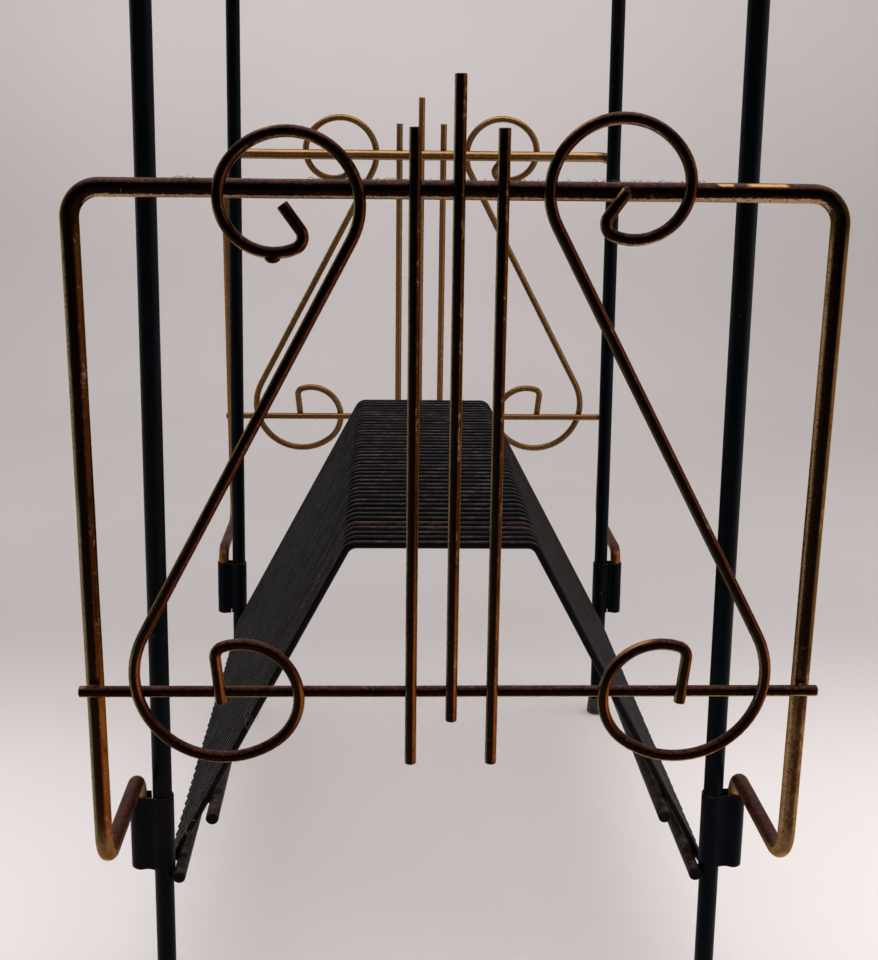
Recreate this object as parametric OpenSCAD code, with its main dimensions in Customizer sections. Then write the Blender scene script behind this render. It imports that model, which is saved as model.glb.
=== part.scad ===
// Record storage stand: a welded black wire rack between four uprights,
// with a lift-off brass lyre panel at each end.
// The origin is on the floor at the middle of the stand. +X is across the stand,
// +Y runs along it and +Z is up. Every length is in millimetres.

/* [Uprights] */
// Diameter of an upright
upright_d = 12; // [10:0.5:16]
// Distance across the stand between upright centres, at the floor
foot_spacing_x = 351.4; // [340:1:400]
// Distance along the stand between upright centres
upright_spacing_y = 465; // [460:1:560]
// Lean of each upright towards the middle as it rises, in degrees
splay = 0.79; // [0:0.1:1.5]
// Height of the stand
stand_height = 712; // [705:1:800]

/* [Feet] */
// Diameter of a foot at the floor
foot_d = 18; // [17.5:0.5:26]
// Diameter of a foot at its rim
foot_rim_d = 16; // [15:0.5:20]
// Height of a foot
foot_h = 16; // [10:1:30]
// Thickness of rubber under the upright
foot_sole = 3; // [2:0.5:6]

/* [Rails] */
// Diameter of the rails and of the shelf's end bars
rail_d = 8; // [6:0.5:9]
// Height of the lower rails' centres
lower_rail_z = 101; // [90:1:120]
// Height of the upper rails' centres
upper_rail_z = 142; // [132:1:160]
// Length of rail beyond the centre of each upright
rail_overhang = 7; // [4:1:20]

/* [Hoops] */
// Number of hoops in each of the fourteen sets
hoops_per_set = 3; // [2:1:3]
// Diameter of the hoop wire
hoop_d = 4.8; // [4:0.2:5]
// Distance from hoop to hoop
hoop_pitch = 10.6; // [10:0.1:10.8]
// Height of the top run's centre
hoop_top_z = 314.6; // [280:1:340]
// Width between the corners of the top run
hoop_top_w = 114; // [90:1:140]
// Bend radius of a hoop's corners, at the centre of the wire
hoop_bend_r = 8; // [5:0.5:14]
// Length of leg below the weld on the lower rail
leg_tail = 5; // [2:0.5:8]

/* [Sleeves] */
// Height of a sleeve
sleeve_h = 50; // [35:1:52]
// Thickness of the sleeve's sheet
sheet_t = 1; // [0.6:0.1:1.4]
// Distance between the upright's surface and the rod beside it
rod_gap = 3.2; // [3:0.1:5]
// Radius of the hollow between the sleeve's two lobes
neck_r = 12; // [8:1:20]
// Clearance round the upright
crimp_gap = 0.1; // [0.1:0.05:0.3]
// Clearance round the rod that lifts out
socket_gap = 0.5; // [0.45:0.05:0.8]
// Width of the seam between the sheet's edges
seam_w = 0.8; // [0.4:0.1:1.5]
// Diameter of the round punch mark
dimple_d = 3.6; // [2:0.2:5]
// Depth of the punch mark
dimple_depth = 0.5; // [0.2:0.05:0.5]
// Distance from the sleeve's top down to the punch mark
dimple_drop = 9; // [5:1:20]

/* [Lyre frame] */
// Diameter of the frame's heavy rod
frame_rod_d = 9.4; // [7:0.2:9.6]
// Height of the top bar's centre
top_bar_z = 532; // [510:1:580]
// Distance that the panel stands out from its uprights
setback = 104.5; // [80:1:140]
// Bend radius of the two top corners
corner_r = 15; // [10:0.5:30]
// Bend radius at the foot of each side
foot_bend_r = 18; // [12:1:25]
// Bend radius where the rod turns down into its sleeve
hook_bend_r = 12; // [9:0.5:20]
// Height of the lifting rod's tip above the sleeve's lower edge
prong_clear = 6; // [3:0.5:15]

/* [Lyre ornament] */
// Diameter of the thin rods
thin_rod_d = 6; // [4:0.1:6.4]
// Distance from the top bar's centre down to the crossbar's centre
crossbar_drop = 258; // [250:1:265]
// Length of crossbar that shows past each side of the frame
crossbar_overhang = 2.2; // [1:0.2:10]
// Distance from string to string
string_pitch = 21.2; // [12:0.2:26]
// Height of the middle string's end above the top bar
middle_string_rise = 54; // [30:1:70]
// Distance from the top bar down to the middle string's lower end
middle_string_drop = 272; // [270:1:300]
// Height of an outer string's end above the top bar
outer_string_rise = 29.5; // [10:0.5:50]
// Distance from the top bar down to an outer string's lower end
outer_string_drop = 296; // [275:1:310]

/* [Scrolls] */
// Lean of the scroll's straight run, in degrees
scroll_lean = 28.1; // [26:0.1:30]
// Length of the straight run
scroll_run = 236.7; // [225:0.5:245]
// How much shorter the front left scroll's run is, bent a little short by hand
short_run = 8.5; // [0:0.5:10]
// Distance from the middle of the panel to the top of the straight run
scroll_top_x = 47.6; // [44:0.2:52]
// Distance from the top bar down to the top of the straight run
scroll_top_drop = 16.3; // [10:0.5:24]
// Upper loop, first bend radius
upper_big_r = 34.6; // [30:0.2:38]
// Upper loop, first bend angle
upper_big_a = 176.8; // [165:0.2:180]
// Upper loop, second bend radius
upper_small_r = 26.6; // [24:0.2:29]
// Upper loop, second bend angle
upper_small_a = 143.8; // [135:0.2:150]
// Upper tail, bend angle
upper_tail_a = 103.6; // [90:0.2:115]
// Upper tail, straight length
upper_tail = 14.7; // [8:0.1:16]
// Lower loop, first bend radius
lower_big_r = 45.6; // [42:0.2:47]
// Lower loop, first bend angle
lower_big_a = 155.3; // [150:0.2:165]
// Lower loop, second bend radius
lower_small_r = 29.75; // [27:0.25:32]
// Lower loop, second bend angle
lower_small_a = 160.7; // [155:0.2:170]
// Lower tail, bend angle
lower_tail_a = 78; // [65:0.2:90]
// Lower tail, straight length
lower_tail = 25; // [15:0.5:28]
// Bend radius of both tails
tail_bend_r = 6; // [5:0.2:8]

/* [Shelf] */
// Distance from the top of the uprights down to the shelf rails' centres
shelf_drop = 20; // [18:1:24]
// Distance from an end bar to the nearest wire
shelf_edge = 16; // [10:1:24]
// Number of wires across the shelf
shelf_wires = 11; // [7:1:15]

/* [Fit] */
// Gap that stands for a weld between two round rods
weld_gap = 0.1; // [0.1:0.05:0.3]
// Bevel on the cut end of a rod
end_bevel = 0.5; // [0.2:0.1:0.8]
// How much thinner a rod's radius is in a bend, where bending draws it out
bend_draw = 0.03; // [0.02:0.01:0.1]
// How far a straight run's full thickness reaches into a bend
bend_lap = 0.3; // [0.2:0.05:0.4]

/* [Hidden] */
$fn = 48;
upright_r = upright_d / 2;
rail_r = rail_d / 2;
hoop_r = hoop_d / 2;
frame_r = frame_rod_d / 2;
thin_r = thin_rod_d / 2;
end_y = upright_spacing_y / 2;
panel_y = end_y + setback;

// How far an upright's axis is from the middle plane at height z.
function upright_x(z) = foot_spacing_x / 2 - z * tan(splay);
// Where a rail's axis runs when it lies against the uprights' inner sides at height z.
function inner_rail_x(z) = upright_x(z) - upright_r / cos(splay) - weld_gap - rail_r;

lower_rail_x = inner_rail_x(lower_rail_z);
rail_len = upright_spacing_y + 2 * rail_overhang;

// The hoop's leg runs from the top corner past both rails, and lies against each of them.
hoop_seat = rail_r + hoop_r + weld_gap;
leg_dx = lower_rail_x - hoop_top_w / 2;
leg_dz = hoop_top_z - lower_rail_z;
leg_lean = atan(leg_dx / leg_dz) + asin(hoop_seat / norm([leg_dx, leg_dz]));
// Length of leg from the corner to the weld on a rail at height z.
function leg_to(z) = (hoop_top_z - z - hoop_seat * sin(leg_lean)) / cos(leg_lean);
upper_rail_x = hoop_top_w / 2 + leg_to(upper_rail_z) * sin(leg_lean) - hoop_seat * cos(leg_lean);
leg_len = leg_to(lower_rail_z) + leg_tail;
hoop_turn = 90 - leg_lean;
hoop_tangent = hoop_bend_r * tan(hoop_turn / 2);
hoop_sets = 14;
hoop_count = hoop_sets * hoops_per_set;

// The sleeve sits just above the lower rail, and its socket's rod stands beside the upright.
sleeve_z = lower_rail_z + rail_r + 0.4;
sleeve_top = sleeve_z + sleeve_h;
prong_depth = sleeve_h - prong_clear;
rod_offset = upright_r + rod_gap + frame_r;
panel_x = upright_x(sleeve_z + sleeve_h / 2) + rod_offset;
seat_gap = 0.5;
hook_z = sleeve_top + seat_gap + hook_bend_r;
side_len = top_bar_z - corner_r - hook_z - foot_bend_r;

// The ornament lies in one plane that leans out over the top bar and the crossbar.
crossbar_y = frame_r + thin_r + weld_gap;
ornament_lean = atan((thin_rod_d + weld_gap) / crossbar_drop);

// The shelf rails lie inside the uprights, its end bars under them and its wires on them.
shelf_rail_z = stand_height - shelf_drop;
shelf_rail_x = inner_rail_x(shelf_rail_z);
end_bar_z = shelf_rail_z - rail_d - weld_gap;
end_bar_x = upright_x(end_bar_z);
end_bar_y = end_y - upright_r - rail_r - weld_gap;
shelf_wire_z = shelf_rail_z + rail_r + hoop_r + weld_gap;
shelf_wire_len = 2 * (shelf_rail_x + rail_r);
shelf_wire_span = 2 * (end_bar_y - shelf_edge);

black = "#17181c";
brass = "#9a6a2c";
rubber = "#1d1c1b";

// A straight rod along +Z with both cut ends bevelled.
module rod(r, length) {
    cylinder(h = end_bevel, r1 = r - end_bevel, r2 = r);
    translate([0, 0, end_bevel]) cylinder(h = length - 2 * end_bevel, r = r);
    translate([0, 0, length - end_bevel]) cylinder(h = end_bevel, r1 = r, r2 = r - end_bevel);
}

// A bend that starts at the origin heading +Z and turns towards +X.
module elbow(r, bend_r, angle) {
    translate([bend_r, 0, 0]) rotate([90, 0, 0]) rotate([0, 0, 180 - angle])
        rotate_extrude(angle = angle) translate([bend_r, 0]) circle(r);
}

// One straight run of a bent rod. An end is cut and bevelled, or reaches into a bend.
module straight_run(r, run, cut_start, cut_end) {
    low = cut_start ? end_bevel : -bend_lap;
    high = cut_end ? run - end_bevel : run + bend_lap;
    if (cut_start) cylinder(h = end_bevel, r1 = r - end_bevel, r2 = r);
    translate([0, 0, low]) cylinder(h = high - low, r = r);
    if (cut_end) translate([0, 0, high]) cylinder(h = end_bevel, r1 = r, r2 = r - end_bevel);
}

// A bent rod that starts at the origin heading +Z. Each step is a straight length, the
// radius and angle of the bend after it, and how far the rod is turned before that bend.
// The last step is a straight length alone. cut_start is false where another rod meets it.
module bent_rod(r, steps, cut_start = true, i = 0) {
    run = steps[i][0];
    last = i == len(steps) - 1;
    straight_run(r, run, cut_start && i == 0, last);
    if (!last) {
        bend_r = steps[i][1];
        angle = steps[i][2];
        translate([0, 0, run]) rotate([0, 0, steps[i][3]]) {
            elbow(r - bend_draw, bend_r, angle);
            translate([bend_r * (1 - cos(angle)), 0, bend_r * sin(angle)]) rotate([0, angle, 0])
                bent_rod(r, steps, cut_start, i + 1);
        }
    }
}

// Places a piece that belongs to the upright on side x_side at end y_side.
module at_upright(x_side, y_side) {
    translate([x_side * foot_spacing_x / 2, y_side * end_y, 0]) rotate([0, -x_side * splay, 0])
        children();
}

module upright(x_side, y_side) {
    start = (foot_sole + 0.3) / cos(splay);
    length = stand_height / cos(splay) - start;
    crown = upright_r / 3;
    color(black) at_upright(x_side, y_side) translate([0, 0, start]) {
        cylinder(h = length - crown, r = upright_r);
        translate([0, 0, length - crown])
            rotate_extrude() intersection() {
                square([upright_r, crown]);
                union() {
                    square([upright_r - crown, crown]);
                    translate([upright_r - crown, 0]) circle(crown);
                }
            }
    }
}

module foot(x_side, y_side) {
    rim = 1.2;
    color(rubber) difference() {
        translate([x_side * foot_spacing_x / 2, y_side * end_y, 0]) rotate_extrude()
            polygon([
                [0, 0], [foot_d / 2 - rim, 0], [foot_d / 2, rim],
                [foot_rim_d / 2, foot_h - rim], [foot_rim_d / 2 - rim / 2, foot_h], [0, foot_h]
            ]);
        at_upright(x_side, y_side) translate([0, 0, foot_sole])
            cylinder(h = foot_h, r = upright_r + crimp_gap);
    }
}

// A solid with the sleeve's outline from above: two lobes round the upright and the rod,
// and the hollow between them. inset moves the whole outline inwards.
module lobes(inset, height) {
    upright_lobe = upright_r + crimp_gap + sheet_t;
    rod_lobe = frame_r + socket_gap + sheet_t;
    crease = 0.1;
    a = upright_lobe + neck_r - crease;
    b = rod_lobe + neck_r - crease;
    neck_x = (a * a - b * b + rod_offset * rod_offset) / (2 * rod_offset);
    neck_y = sqrt(a * a - neck_x * neck_x);
    cylinder(h = height, r = upright_lobe - inset);
    translate([rod_offset, 0, 0]) cylinder(h = height, r = rod_lobe - inset);
    difference() {
        linear_extrude(height)
            polygon([[0, 0], [neck_x, neck_y], [rod_offset, 0], [neck_x, -neck_y]]);
        for (side = [-1, 1]) translate([neck_x, side * neck_y, -1])
            cylinder(h = height + 2, r = neck_r + inset);
    }
}

// One strip of sheet wrapped round the upright and the lyre's rod, with its seam on the
// inner side and a punch mark on the outer side.
module sleeve(x_side, y_side) {
    dimple_r = (pow(dimple_d / 2, 2) + pow(dimple_depth, 2)) / (2 * dimple_depth);
    face = upright_r + crimp_gap + sheet_t;
    color(black) at_upright(x_side, y_side) mirror([x_side < 0 ? 1 : 0, 0, 0])
        mirror([0, y_side > 0 ? 1 : 0, 0]) difference() {
            translate([0, 0, sleeve_z]) lobes(0, sleeve_h);
            translate([0, 0, sleeve_z - 1]) lobes(sheet_t, sleeve_h + 2);
            translate([rod_offset / 2 - seam_w / 2, 0, sleeve_z - 1])
                cube([seam_w, face + 1, sleeve_h + 2]);
            translate([0, -face - dimple_r + dimple_depth, sleeve_top - dimple_drop])
                sphere(dimple_r);
        }
}

module long_rail(x, z) {
    color(black) translate([x, -rail_len / 2, z]) rotate([-90, 0, 0]) rod(rail_r, rail_len);
}

module hoop() {
    leg_run = leg_len - hoop_tangent;
    foot_x = hoop_top_w / 2 + leg_len * sin(leg_lean);
    foot_z = hoop_top_z - leg_len * cos(leg_lean);
    translate([-foot_x, 0, foot_z]) rotate([0, leg_lean, 0])
        bent_rod(hoop_r, [
            [leg_run, hoop_bend_r, hoop_turn, 0],
            [hoop_top_w - 2 * hoop_tangent, hoop_bend_r, hoop_turn, 0],
            [leg_run]
        ]);
}

module hoop_set(i) {
    color(black) for (k = [0:hoops_per_set - 1])
        translate([0, (i * hoops_per_set + k - (hoop_count - 1) / 2) * hoop_pitch, 0]) hoop();
}

module shelf_bar(y_side) {
    color(black) translate([-end_bar_x, y_side * end_bar_y, end_bar_z]) rotate([0, 90, 0])
        rod(rail_r, 2 * end_bar_x);
}

module shelf_wire_set() {
    color(black) for (k = [0:shelf_wires - 1])
        translate([-shelf_wire_len / 2, (k / (shelf_wires - 1) - 0.5) * shelf_wire_span, shelf_wire_z])
            rotate([0, 90, 0]) rod(hoop_r, shelf_wire_len);
}

// Places a lyre piece. It is drawn as the front panel's, about the middle of its top bar,
// and the rear panel is the same one turned to face the other way.
module at_panel(y_side) {
    rotate([0, 0, y_side > 0 ? 180 : 0]) translate([0, -panel_y, top_bar_z]) children();
}

// The plane that the strings and scrolls lie in, just outside the top bar.
module on_ornament_plane() {
    translate([0, -crossbar_y, 0]) rotate([-ornament_lean, 0, 0]) children();
}

// One rod bent from the left sleeve, out, up, across, down and back into the right sleeve.
module lyre_frame(y_side) {
    hook_run = setback - hook_bend_r - foot_bend_r;
    prong = prong_depth + seat_gap;
    color(brass) at_panel(y_side)
        translate([-panel_x, setback, sleeve_top - prong_depth - top_bar_z])
            bent_rod(frame_r, [
                [prong, hook_bend_r, 90, -90],
                [hook_run, foot_bend_r, 90, 180],
                [side_len, corner_r, 90, -90],
                [2 * (panel_x - corner_r), corner_r, 90, 0],
                [side_len, foot_bend_r, 90, 90],
                [hook_run, hook_bend_r, 90, 180],
                [prong]
            ]);
}

module crossbar(y_side) {
    reach = panel_x + frame_r + crossbar_overhang;
    color(brass) at_panel(y_side) translate([-reach, -crossbar_y, -crossbar_drop])
        rotate([0, 90, 0]) rod(thin_r, 2 * reach);
}

module lyre_string(y_side, x, rise, drop) {
    color(brass) at_panel(y_side) on_ornament_plane() translate([x, 0, -drop])
        rod(thin_r, rise + drop);
}

// The right-hand scroll: a leaning straight run whose ends each curl up in two bends and
// turn back in a short tail. less is how much is missing from the top of the run.
module scroll(y_side, x_side, less = 0) {
    color(brass) at_panel(y_side) on_ornament_plane() mirror([x_side < 0 ? 1 : 0, 0, 0])
        translate([scroll_top_x, 0, -scroll_top_drop]) rotate([0, -scroll_lean, 0])
        translate([0, 0, -less]) {
            bent_rod(thin_r, [
                [0, upper_big_r, upper_big_a, 0],
                [0, upper_small_r, upper_small_a, 0],
                [0, tail_bend_r, upper_tail_a, 0],
                [upper_tail]
            ], false);
            rotate([0, 180, 0]) bent_rod(thin_r, [
                [scroll_run - less, lower_big_r, lower_big_a, 0],
                [0, lower_small_r, lower_small_a, 0],
                [0, tail_bend_r, lower_tail_a, 0],
                [lower_tail]
            ], false);
        }
}

upright(-1, -1);  // upright_front_left
upright(1, -1);  // upright_front_right
upright(-1, 1);  // upright_rear_left
upright(1, 1);  // upright_rear_right
foot(-1, -1);  // foot_front_left
foot(1, -1);  // foot_front_right
foot(-1, 1);  // foot_rear_left
foot(1, 1);  // foot_rear_right
sleeve(-1, -1);  // sleeve_front_left
sleeve(1, -1);  // sleeve_front_right
sleeve(-1, 1);  // sleeve_rear_left
sleeve(1, 1);  // sleeve_rear_right
long_rail(-lower_rail_x, lower_rail_z);  // lower_rail_left
long_rail(lower_rail_x, lower_rail_z);  // lower_rail_right
long_rail(-upper_rail_x, upper_rail_z);  // upper_rail_left
long_rail(upper_rail_x, upper_rail_z);  // upper_rail_right
hoop_set(0);  // hoops_01
hoop_set(1);  // hoops_02
hoop_set(2);  // hoops_03
hoop_set(3);  // hoops_04
hoop_set(4);  // hoops_05
hoop_set(5);  // hoops_06
hoop_set(6);  // hoops_07
hoop_set(7);  // hoops_08
hoop_set(8);  // hoops_09
hoop_set(9);  // hoops_10
hoop_set(10);  // hoops_11
hoop_set(11);  // hoops_12
hoop_set(12);  // hoops_13
hoop_set(13);  // hoops_14
long_rail(-shelf_rail_x, shelf_rail_z);  // shelf_rail_left
long_rail(shelf_rail_x, shelf_rail_z);  // shelf_rail_right
shelf_bar(-1);  // shelf_bar_front
shelf_bar(1);  // shelf_bar_rear
shelf_wire_set();  // shelf_wires
lyre_frame(-1);  // front_lyre_frame
crossbar(-1);  // front_crossbar
lyre_string(-1, -string_pitch, outer_string_rise, outer_string_drop);  // front_string_left
lyre_string(-1, 0, middle_string_rise, middle_string_drop);  // front_string_middle
lyre_string(-1, string_pitch, outer_string_rise, outer_string_drop);  // front_string_right
scroll(-1, -1, short_run);  // front_scroll_left
scroll(-1, 1);  // front_scroll_right
lyre_frame(1);  // rear_lyre_frame
crossbar(1);  // rear_crossbar
lyre_string(1, string_pitch, outer_string_rise, outer_string_drop);  // rear_string_left
lyre_string(1, 0, middle_string_rise, middle_string_drop);  // rear_string_middle
lyre_string(1, -string_pitch, outer_string_rise, outer_string_drop);  // rear_string_right
scroll(1, 1);  // rear_scroll_left
scroll(1, -1);  // rear_scroll_right
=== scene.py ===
"""Record storage stand: a black wire rack with a lift-off brass lyre panel at each end.

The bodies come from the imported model. Lengths are in metres: X runs across the stand,
Y along the row of hoops, Z up from the floor.
"""

import functools
import math

import bmesh
import bpy
from mathutils import Matrix, Quaternion, Vector


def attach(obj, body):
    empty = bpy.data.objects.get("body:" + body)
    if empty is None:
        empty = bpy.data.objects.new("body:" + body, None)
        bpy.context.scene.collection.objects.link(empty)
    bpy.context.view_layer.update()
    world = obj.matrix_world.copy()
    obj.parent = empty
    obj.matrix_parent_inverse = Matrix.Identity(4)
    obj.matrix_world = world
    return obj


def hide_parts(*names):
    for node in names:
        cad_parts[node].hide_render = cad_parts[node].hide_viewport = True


bl_info = {
    "name": "Record storage stand",
    "version": (1, 0, 0),
    "blender": (4, 5, 0),
    "location": "View3D > Sidebar > Record stand",
    "description": "Dresses the record stand: enamelled rack, brass lyre panels and stage",
    "category": "Object",
}

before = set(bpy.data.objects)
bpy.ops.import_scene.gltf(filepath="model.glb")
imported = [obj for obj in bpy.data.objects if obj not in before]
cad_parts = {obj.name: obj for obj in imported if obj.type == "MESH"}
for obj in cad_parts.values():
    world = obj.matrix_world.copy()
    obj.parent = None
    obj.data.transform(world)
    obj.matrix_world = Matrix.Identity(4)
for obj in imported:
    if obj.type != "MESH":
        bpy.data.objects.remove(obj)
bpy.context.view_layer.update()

ENDS = {"front": -1, "rear": 1}
SIDES = {"left": -1, "right": 1}
CORNERS = [(end, side, x_side, y_side)
           for end, y_side in ENDS.items() for side, x_side in SIDES.items()]
ALONG, UP = Vector((0, 1, 0)), Vector((0, 0, 1))

CUT_BEVEL = 0.0005  # bevel on a rod's cut end
THIN_SIDES, THIN_SPACING = 28, 0.006  # faces round a panel's thin rods, and lengths along them
RIM_SHARE, SHOULDER_SHARE = 0.28, 0.3  # a sleeve's rounded rim, of its sheet, and its shoulder

# half width both ways and half thickness of the weld beads
RAIL_BEAD = (0.0040, 0.0040, 0.0021)
BAR_BEAD = (0.0034, 0.0040, 0.0020)
BENEATH_BEAD = (0.0034, 0.0034, 0.0018)
WIRE_BEAD = (0.0026, 0.0024, 0.0014)
LEG_BEAD = (0.0027, 0.0026, 0.0015)
BURR = (0.0042, 0.0023, 0.0031)


# ---------------------------------------------------------------- settings

def length(name, default, description):
    return bpy.props.FloatProperty(
        name=name, description=description, default=default, min=0.0, precision=5, unit="LENGTH"
    )


def angle(name, degrees, description):
    return bpy.props.FloatProperty(
        name=name, description=description, default=math.radians(degrees), subtype="ANGLE"
    )


def amount(name, default, description, low=0.0, high=1.0):
    return bpy.props.FloatProperty(
        name=name, description=description, default=default, min=low, max=high
    )


def whole(name, default, description):
    return bpy.props.IntProperty(name=name, description=description, default=default, min=1)


def colour(name, default, description):
    return bpy.props.FloatVectorProperty(
        name=name, description=description, default=default, subtype="COLOR", size=3, min=0, max=1
    )


def power(name, default, description):
    return bpy.props.FloatProperty(
        name=name, description=description, default=default, min=0.0, unit="POWER"
    )


def group(kind, name, description):
    return bpy.props.PointerProperty(type=kind, name=name, description=description)


class RackSizes(bpy.types.PropertyGroup):
    upright: length("Upright", 0.012, "Diameter of an upright")
    foot_spacing: length("Foot spacing", 0.3514, "Across the stand, between uprights at the floor")
    end_spacing: length("End spacing", 0.465, "Along the stand, between uprights")
    splay: angle("Splay", 0.79, "Lean of each upright towards the middle")
    height: length("Height", 0.712, "Height of the stand")
    rail: length("Rail", 0.008, "Diameter of the rails and of the shelf's end bars")
    lower_rail: length("Lower rail height", 0.101, "Height of the lower rails' centres")
    upper_rail: length("Upper rail height", 0.142, "Height of the upper rails' centres")
    overhang: length("Rail overhang", 0.007, "Rail beyond the centre of each upright")
    shelf_drop: length("Shelf drop", 0.020, "From the top of the uprights to the shelf rails")
    shelf_wires: whole("Shelf wires", 11, "Number of wires across the shelf")
    weld_gap: length("Weld gap", 0.0001, "Gap between two rods that are welded together")


class HoopSizes(bpy.types.PropertyGroup):
    count: whole("Hoops", 42, "Number of hoops in the row")
    wire: length("Wire", 0.0048, "Diameter of the hoop wire")
    pitch: length("Pitch", 0.0106, "Distance from hoop to hoop")
    top_height: length("Top height", 0.3146, "Height of the top run's centre")
    top_width: length("Top width", 0.114, "Width between the corners of the top run")
    bend: length("Corner radius", 0.008, "Bend radius at the centre of the wire")
    tail: length("Leg tail", 0.005, "Leg below the weld on the lower rail")
    stray: length("Stray", 0.0009, "How far a hoop's top may stand out of line")


class LyreSizes(bpy.types.PropertyGroup):
    rod: length("Frame rod", 0.0094, "Diameter of the frame's heavy rod")
    thin_rod: length("Thin rod", 0.006, "Diameter of the strings, scrolls and crossbar")
    top_bar: length("Top bar height", 0.532, "Height of the top bar's centre")
    setback: length("Setback", 0.1045, "From the uprights out to the panel")
    rod_gap: length("Rod gap", 0.0032, "Between the upright's surface and the rod beside it")
    corner: length("Corner radius", 0.015, "Bend radius of the two top corners")
    foot_bend: length("Foot bend radius", 0.018, "Bend radius at the foot of each side")
    hook_bend: length("Hook bend radius", 0.012, "Bend radius above the sleeve")
    prong: length("Prong", 0.0445, "Length of rod inside the sleeve")
    crossbar_drop: length("Crossbar drop", 0.258, "From the top bar down to the crossbar")
    crossbar_overhang: length("Crossbar overhang", 0.0022, "Crossbar past each side")
    string_pitch: length("String pitch", 0.0212, "Distance from string to string")
    middle_rise: length("Middle string rise", 0.054, "Middle string above the top bar")
    middle_drop: length("Middle string drop", 0.272, "Middle string below the top bar")
    outer_rise: length("Outer string rise", 0.0295, "Outer string above the top bar")
    outer_drop: length("Outer string drop", 0.296, "Outer string below the top bar")
    scroll_lean: angle("Scroll lean", 28.1, "Lean of the scroll's straight run")
    scroll_run: length("Scroll run", 0.2367, "Length of the scroll's straight run")
    scroll_top: length("Scroll top", 0.0476, "From the panel's middle to the straight run's top")
    scroll_drop: length("Scroll drop", 0.0163, "From the top bar to the straight run's top")
    short_run: length("Short run", 0.0085, "What the front left scroll's straight run lacks")


class SleeveSizes(bpy.types.PropertyGroup):
    height: length("Height", 0.050, "Height of a sleeve")
    bottom: length("Bottom", 0.1054, "Height of a sleeve's lower edge")
    sheet: length("Sheet", 0.001, "Thickness of the sheet")
    neck: length("Neck radius", 0.012, "Radius of the hollow between the lobes")
    crimp_gap: length("Crimp gap", 0.0001, "Clearance round the upright")
    socket_gap: length("Socket gap", 0.0005, "Clearance round the rod that lifts out")
    seam: length("Seam", 0.0008, "Width of the seam")
    mark: length("Punch mark", 0.0036, "Diameter of the punch mark")
    mark_depth: length("Punch depth", 0.0005, "Depth of the punch mark")
    mark_drop: length("Punch drop", 0.009, "From the sleeve's top to the punch mark")


class Finishes(bpy.types.PropertyGroup):
    enamel: colour("Enamel", (0.0011, 0.0016, 0.0026), "Black enamel")
    enamel_brown: colour("Worn enamel", (0.0052, 0.0030, 0.0024), "Enamel that has gone brown")
    grime: colour("Grime", (0.075, 0.042, 0.028), "Rusty dust on the tops of the low rails")
    rust: colour("Rust", (0.085, 0.032, 0.014), "Rust where the enamel is chipped")
    # Besides their own uses, brass also paints highlights, amber and olive paint reflections on the
    # rods' right and left sides, and tarnish paints shade on the rods' fronts.
    brass: colour("Brass", (0.50, 0.29, 0.125), "Clean brass, where nothing has touched it")
    amber: colour("Amber", (0.215, 0.058, 0.011), "Brass under old brown lacquer")
    ochre: colour("Ochre", (0.25, 0.115, 0.036), "Brass on the side that faces into the stand")
    bare: colour("Bare metal", (0.46, 0.40, 0.34), "Bare metal on a cut end")
    olive: colour("Olive", (0.16, 0.15, 0.095), "Brass that has gone dull and greenish")
    rose: colour("Rose", (0.24, 0.12, 0.12), "Pale grains in the red patina")
    copper: colour("Copper", (0.105, 0.019, 0.017), "Dark red patina")
    tarnish: colour("Tarnish", (0.0042, 0.0021, 0.0011), "Nearly black tarnish")
    rubber: colour("Rubber", (0.016, 0.015, 0.014), "Black rubber")
    dust: colour("Dust", (0.30, 0.25, 0.205), "Dust and lint")


class StageLook(bpy.types.PropertyGroup):
    floor: colour("Floor", (0.80, 0.745, 0.742), "Floor and backdrop")
    # behind paints shade on the paper behind the stand, and lift paints a glow on it
    behind: amount("Behind", 0.24, "How much darker the paper is behind the stand")
    lift: amount("Lift", 0.19, "Light of its own that the paper shows in front and at the top")
    top: power("Top light", 62.0, "Power of the lamp overhead")
    left: power("Left light", 6.0, "Power of the left lamp")
    right: power("Right light", 9.0, "Power of the right lamp")
    world: amount("Room light", 0.11, "Strength of the plain light from all round")


class StandSettings(bpy.types.PropertyGroup):
    rack: group(RackSizes, "Rack", "Sizes of the rack")
    hoops: group(HoopSizes, "Hoops", "Sizes of the hoops")
    lyre: group(LyreSizes, "Lyre", "Sizes of the panels")
    sleeves: group(SleeveSizes, "Sleeves", "Sizes of the sleeves")
    finishes: group(Finishes, "Finishes", "Colours of the finishes")
    stage: group(StageLook, "Stage", "Floor and lamps")


def settings():
    return bpy.context.scene.record_stand

# ---------------------------------------------------------------- node helpers

class Field:
    """What a node's output gives, which may vary from point to point.

    A sum written with fields and plain numbers adds the math nodes that work it out.
    """

    def __init__(self, socket):
        self.socket = socket

    @property
    def tree(self):
        return self.socket.id_data

    def __add__(self, other):
        return maths("ADD", self, other)

    def __sub__(self, other):
        return maths("SUBTRACT", self, other)

    def __rsub__(self, other):
        return maths("SUBTRACT", other, self)

    def __mul__(self, other):
        return maths("MULTIPLY", self, other)

    def __abs__(self):
        return maths("ABSOLUTE", self)


def feed(entry, value):
    """Gives an input socket a plain value, or links it to a field."""
    if isinstance(value, Field):
        value.tree.links.new(value.socket, entry)
    else:
        entry.default_value = value


def put(tree, kind, inputs=None, output=0, **properties):
    """Adds a node and gives one of its outputs. inputs maps its sockets to values or fields."""
    node = tree.nodes.new(kind)
    for key, value in properties.items():
        setattr(node, key, value)
    for key, value in (inputs or {}).items():
        feed(node.inputs[key], value)
    return Field(node.outputs[output])


def tree_of(*values):
    return next(value.tree for value in values if isinstance(value, Field))


def maths(operation, *values):
    return put(tree_of(*values), "ShaderNodeMath", dict(enumerate(values)), operation=operation)


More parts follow.
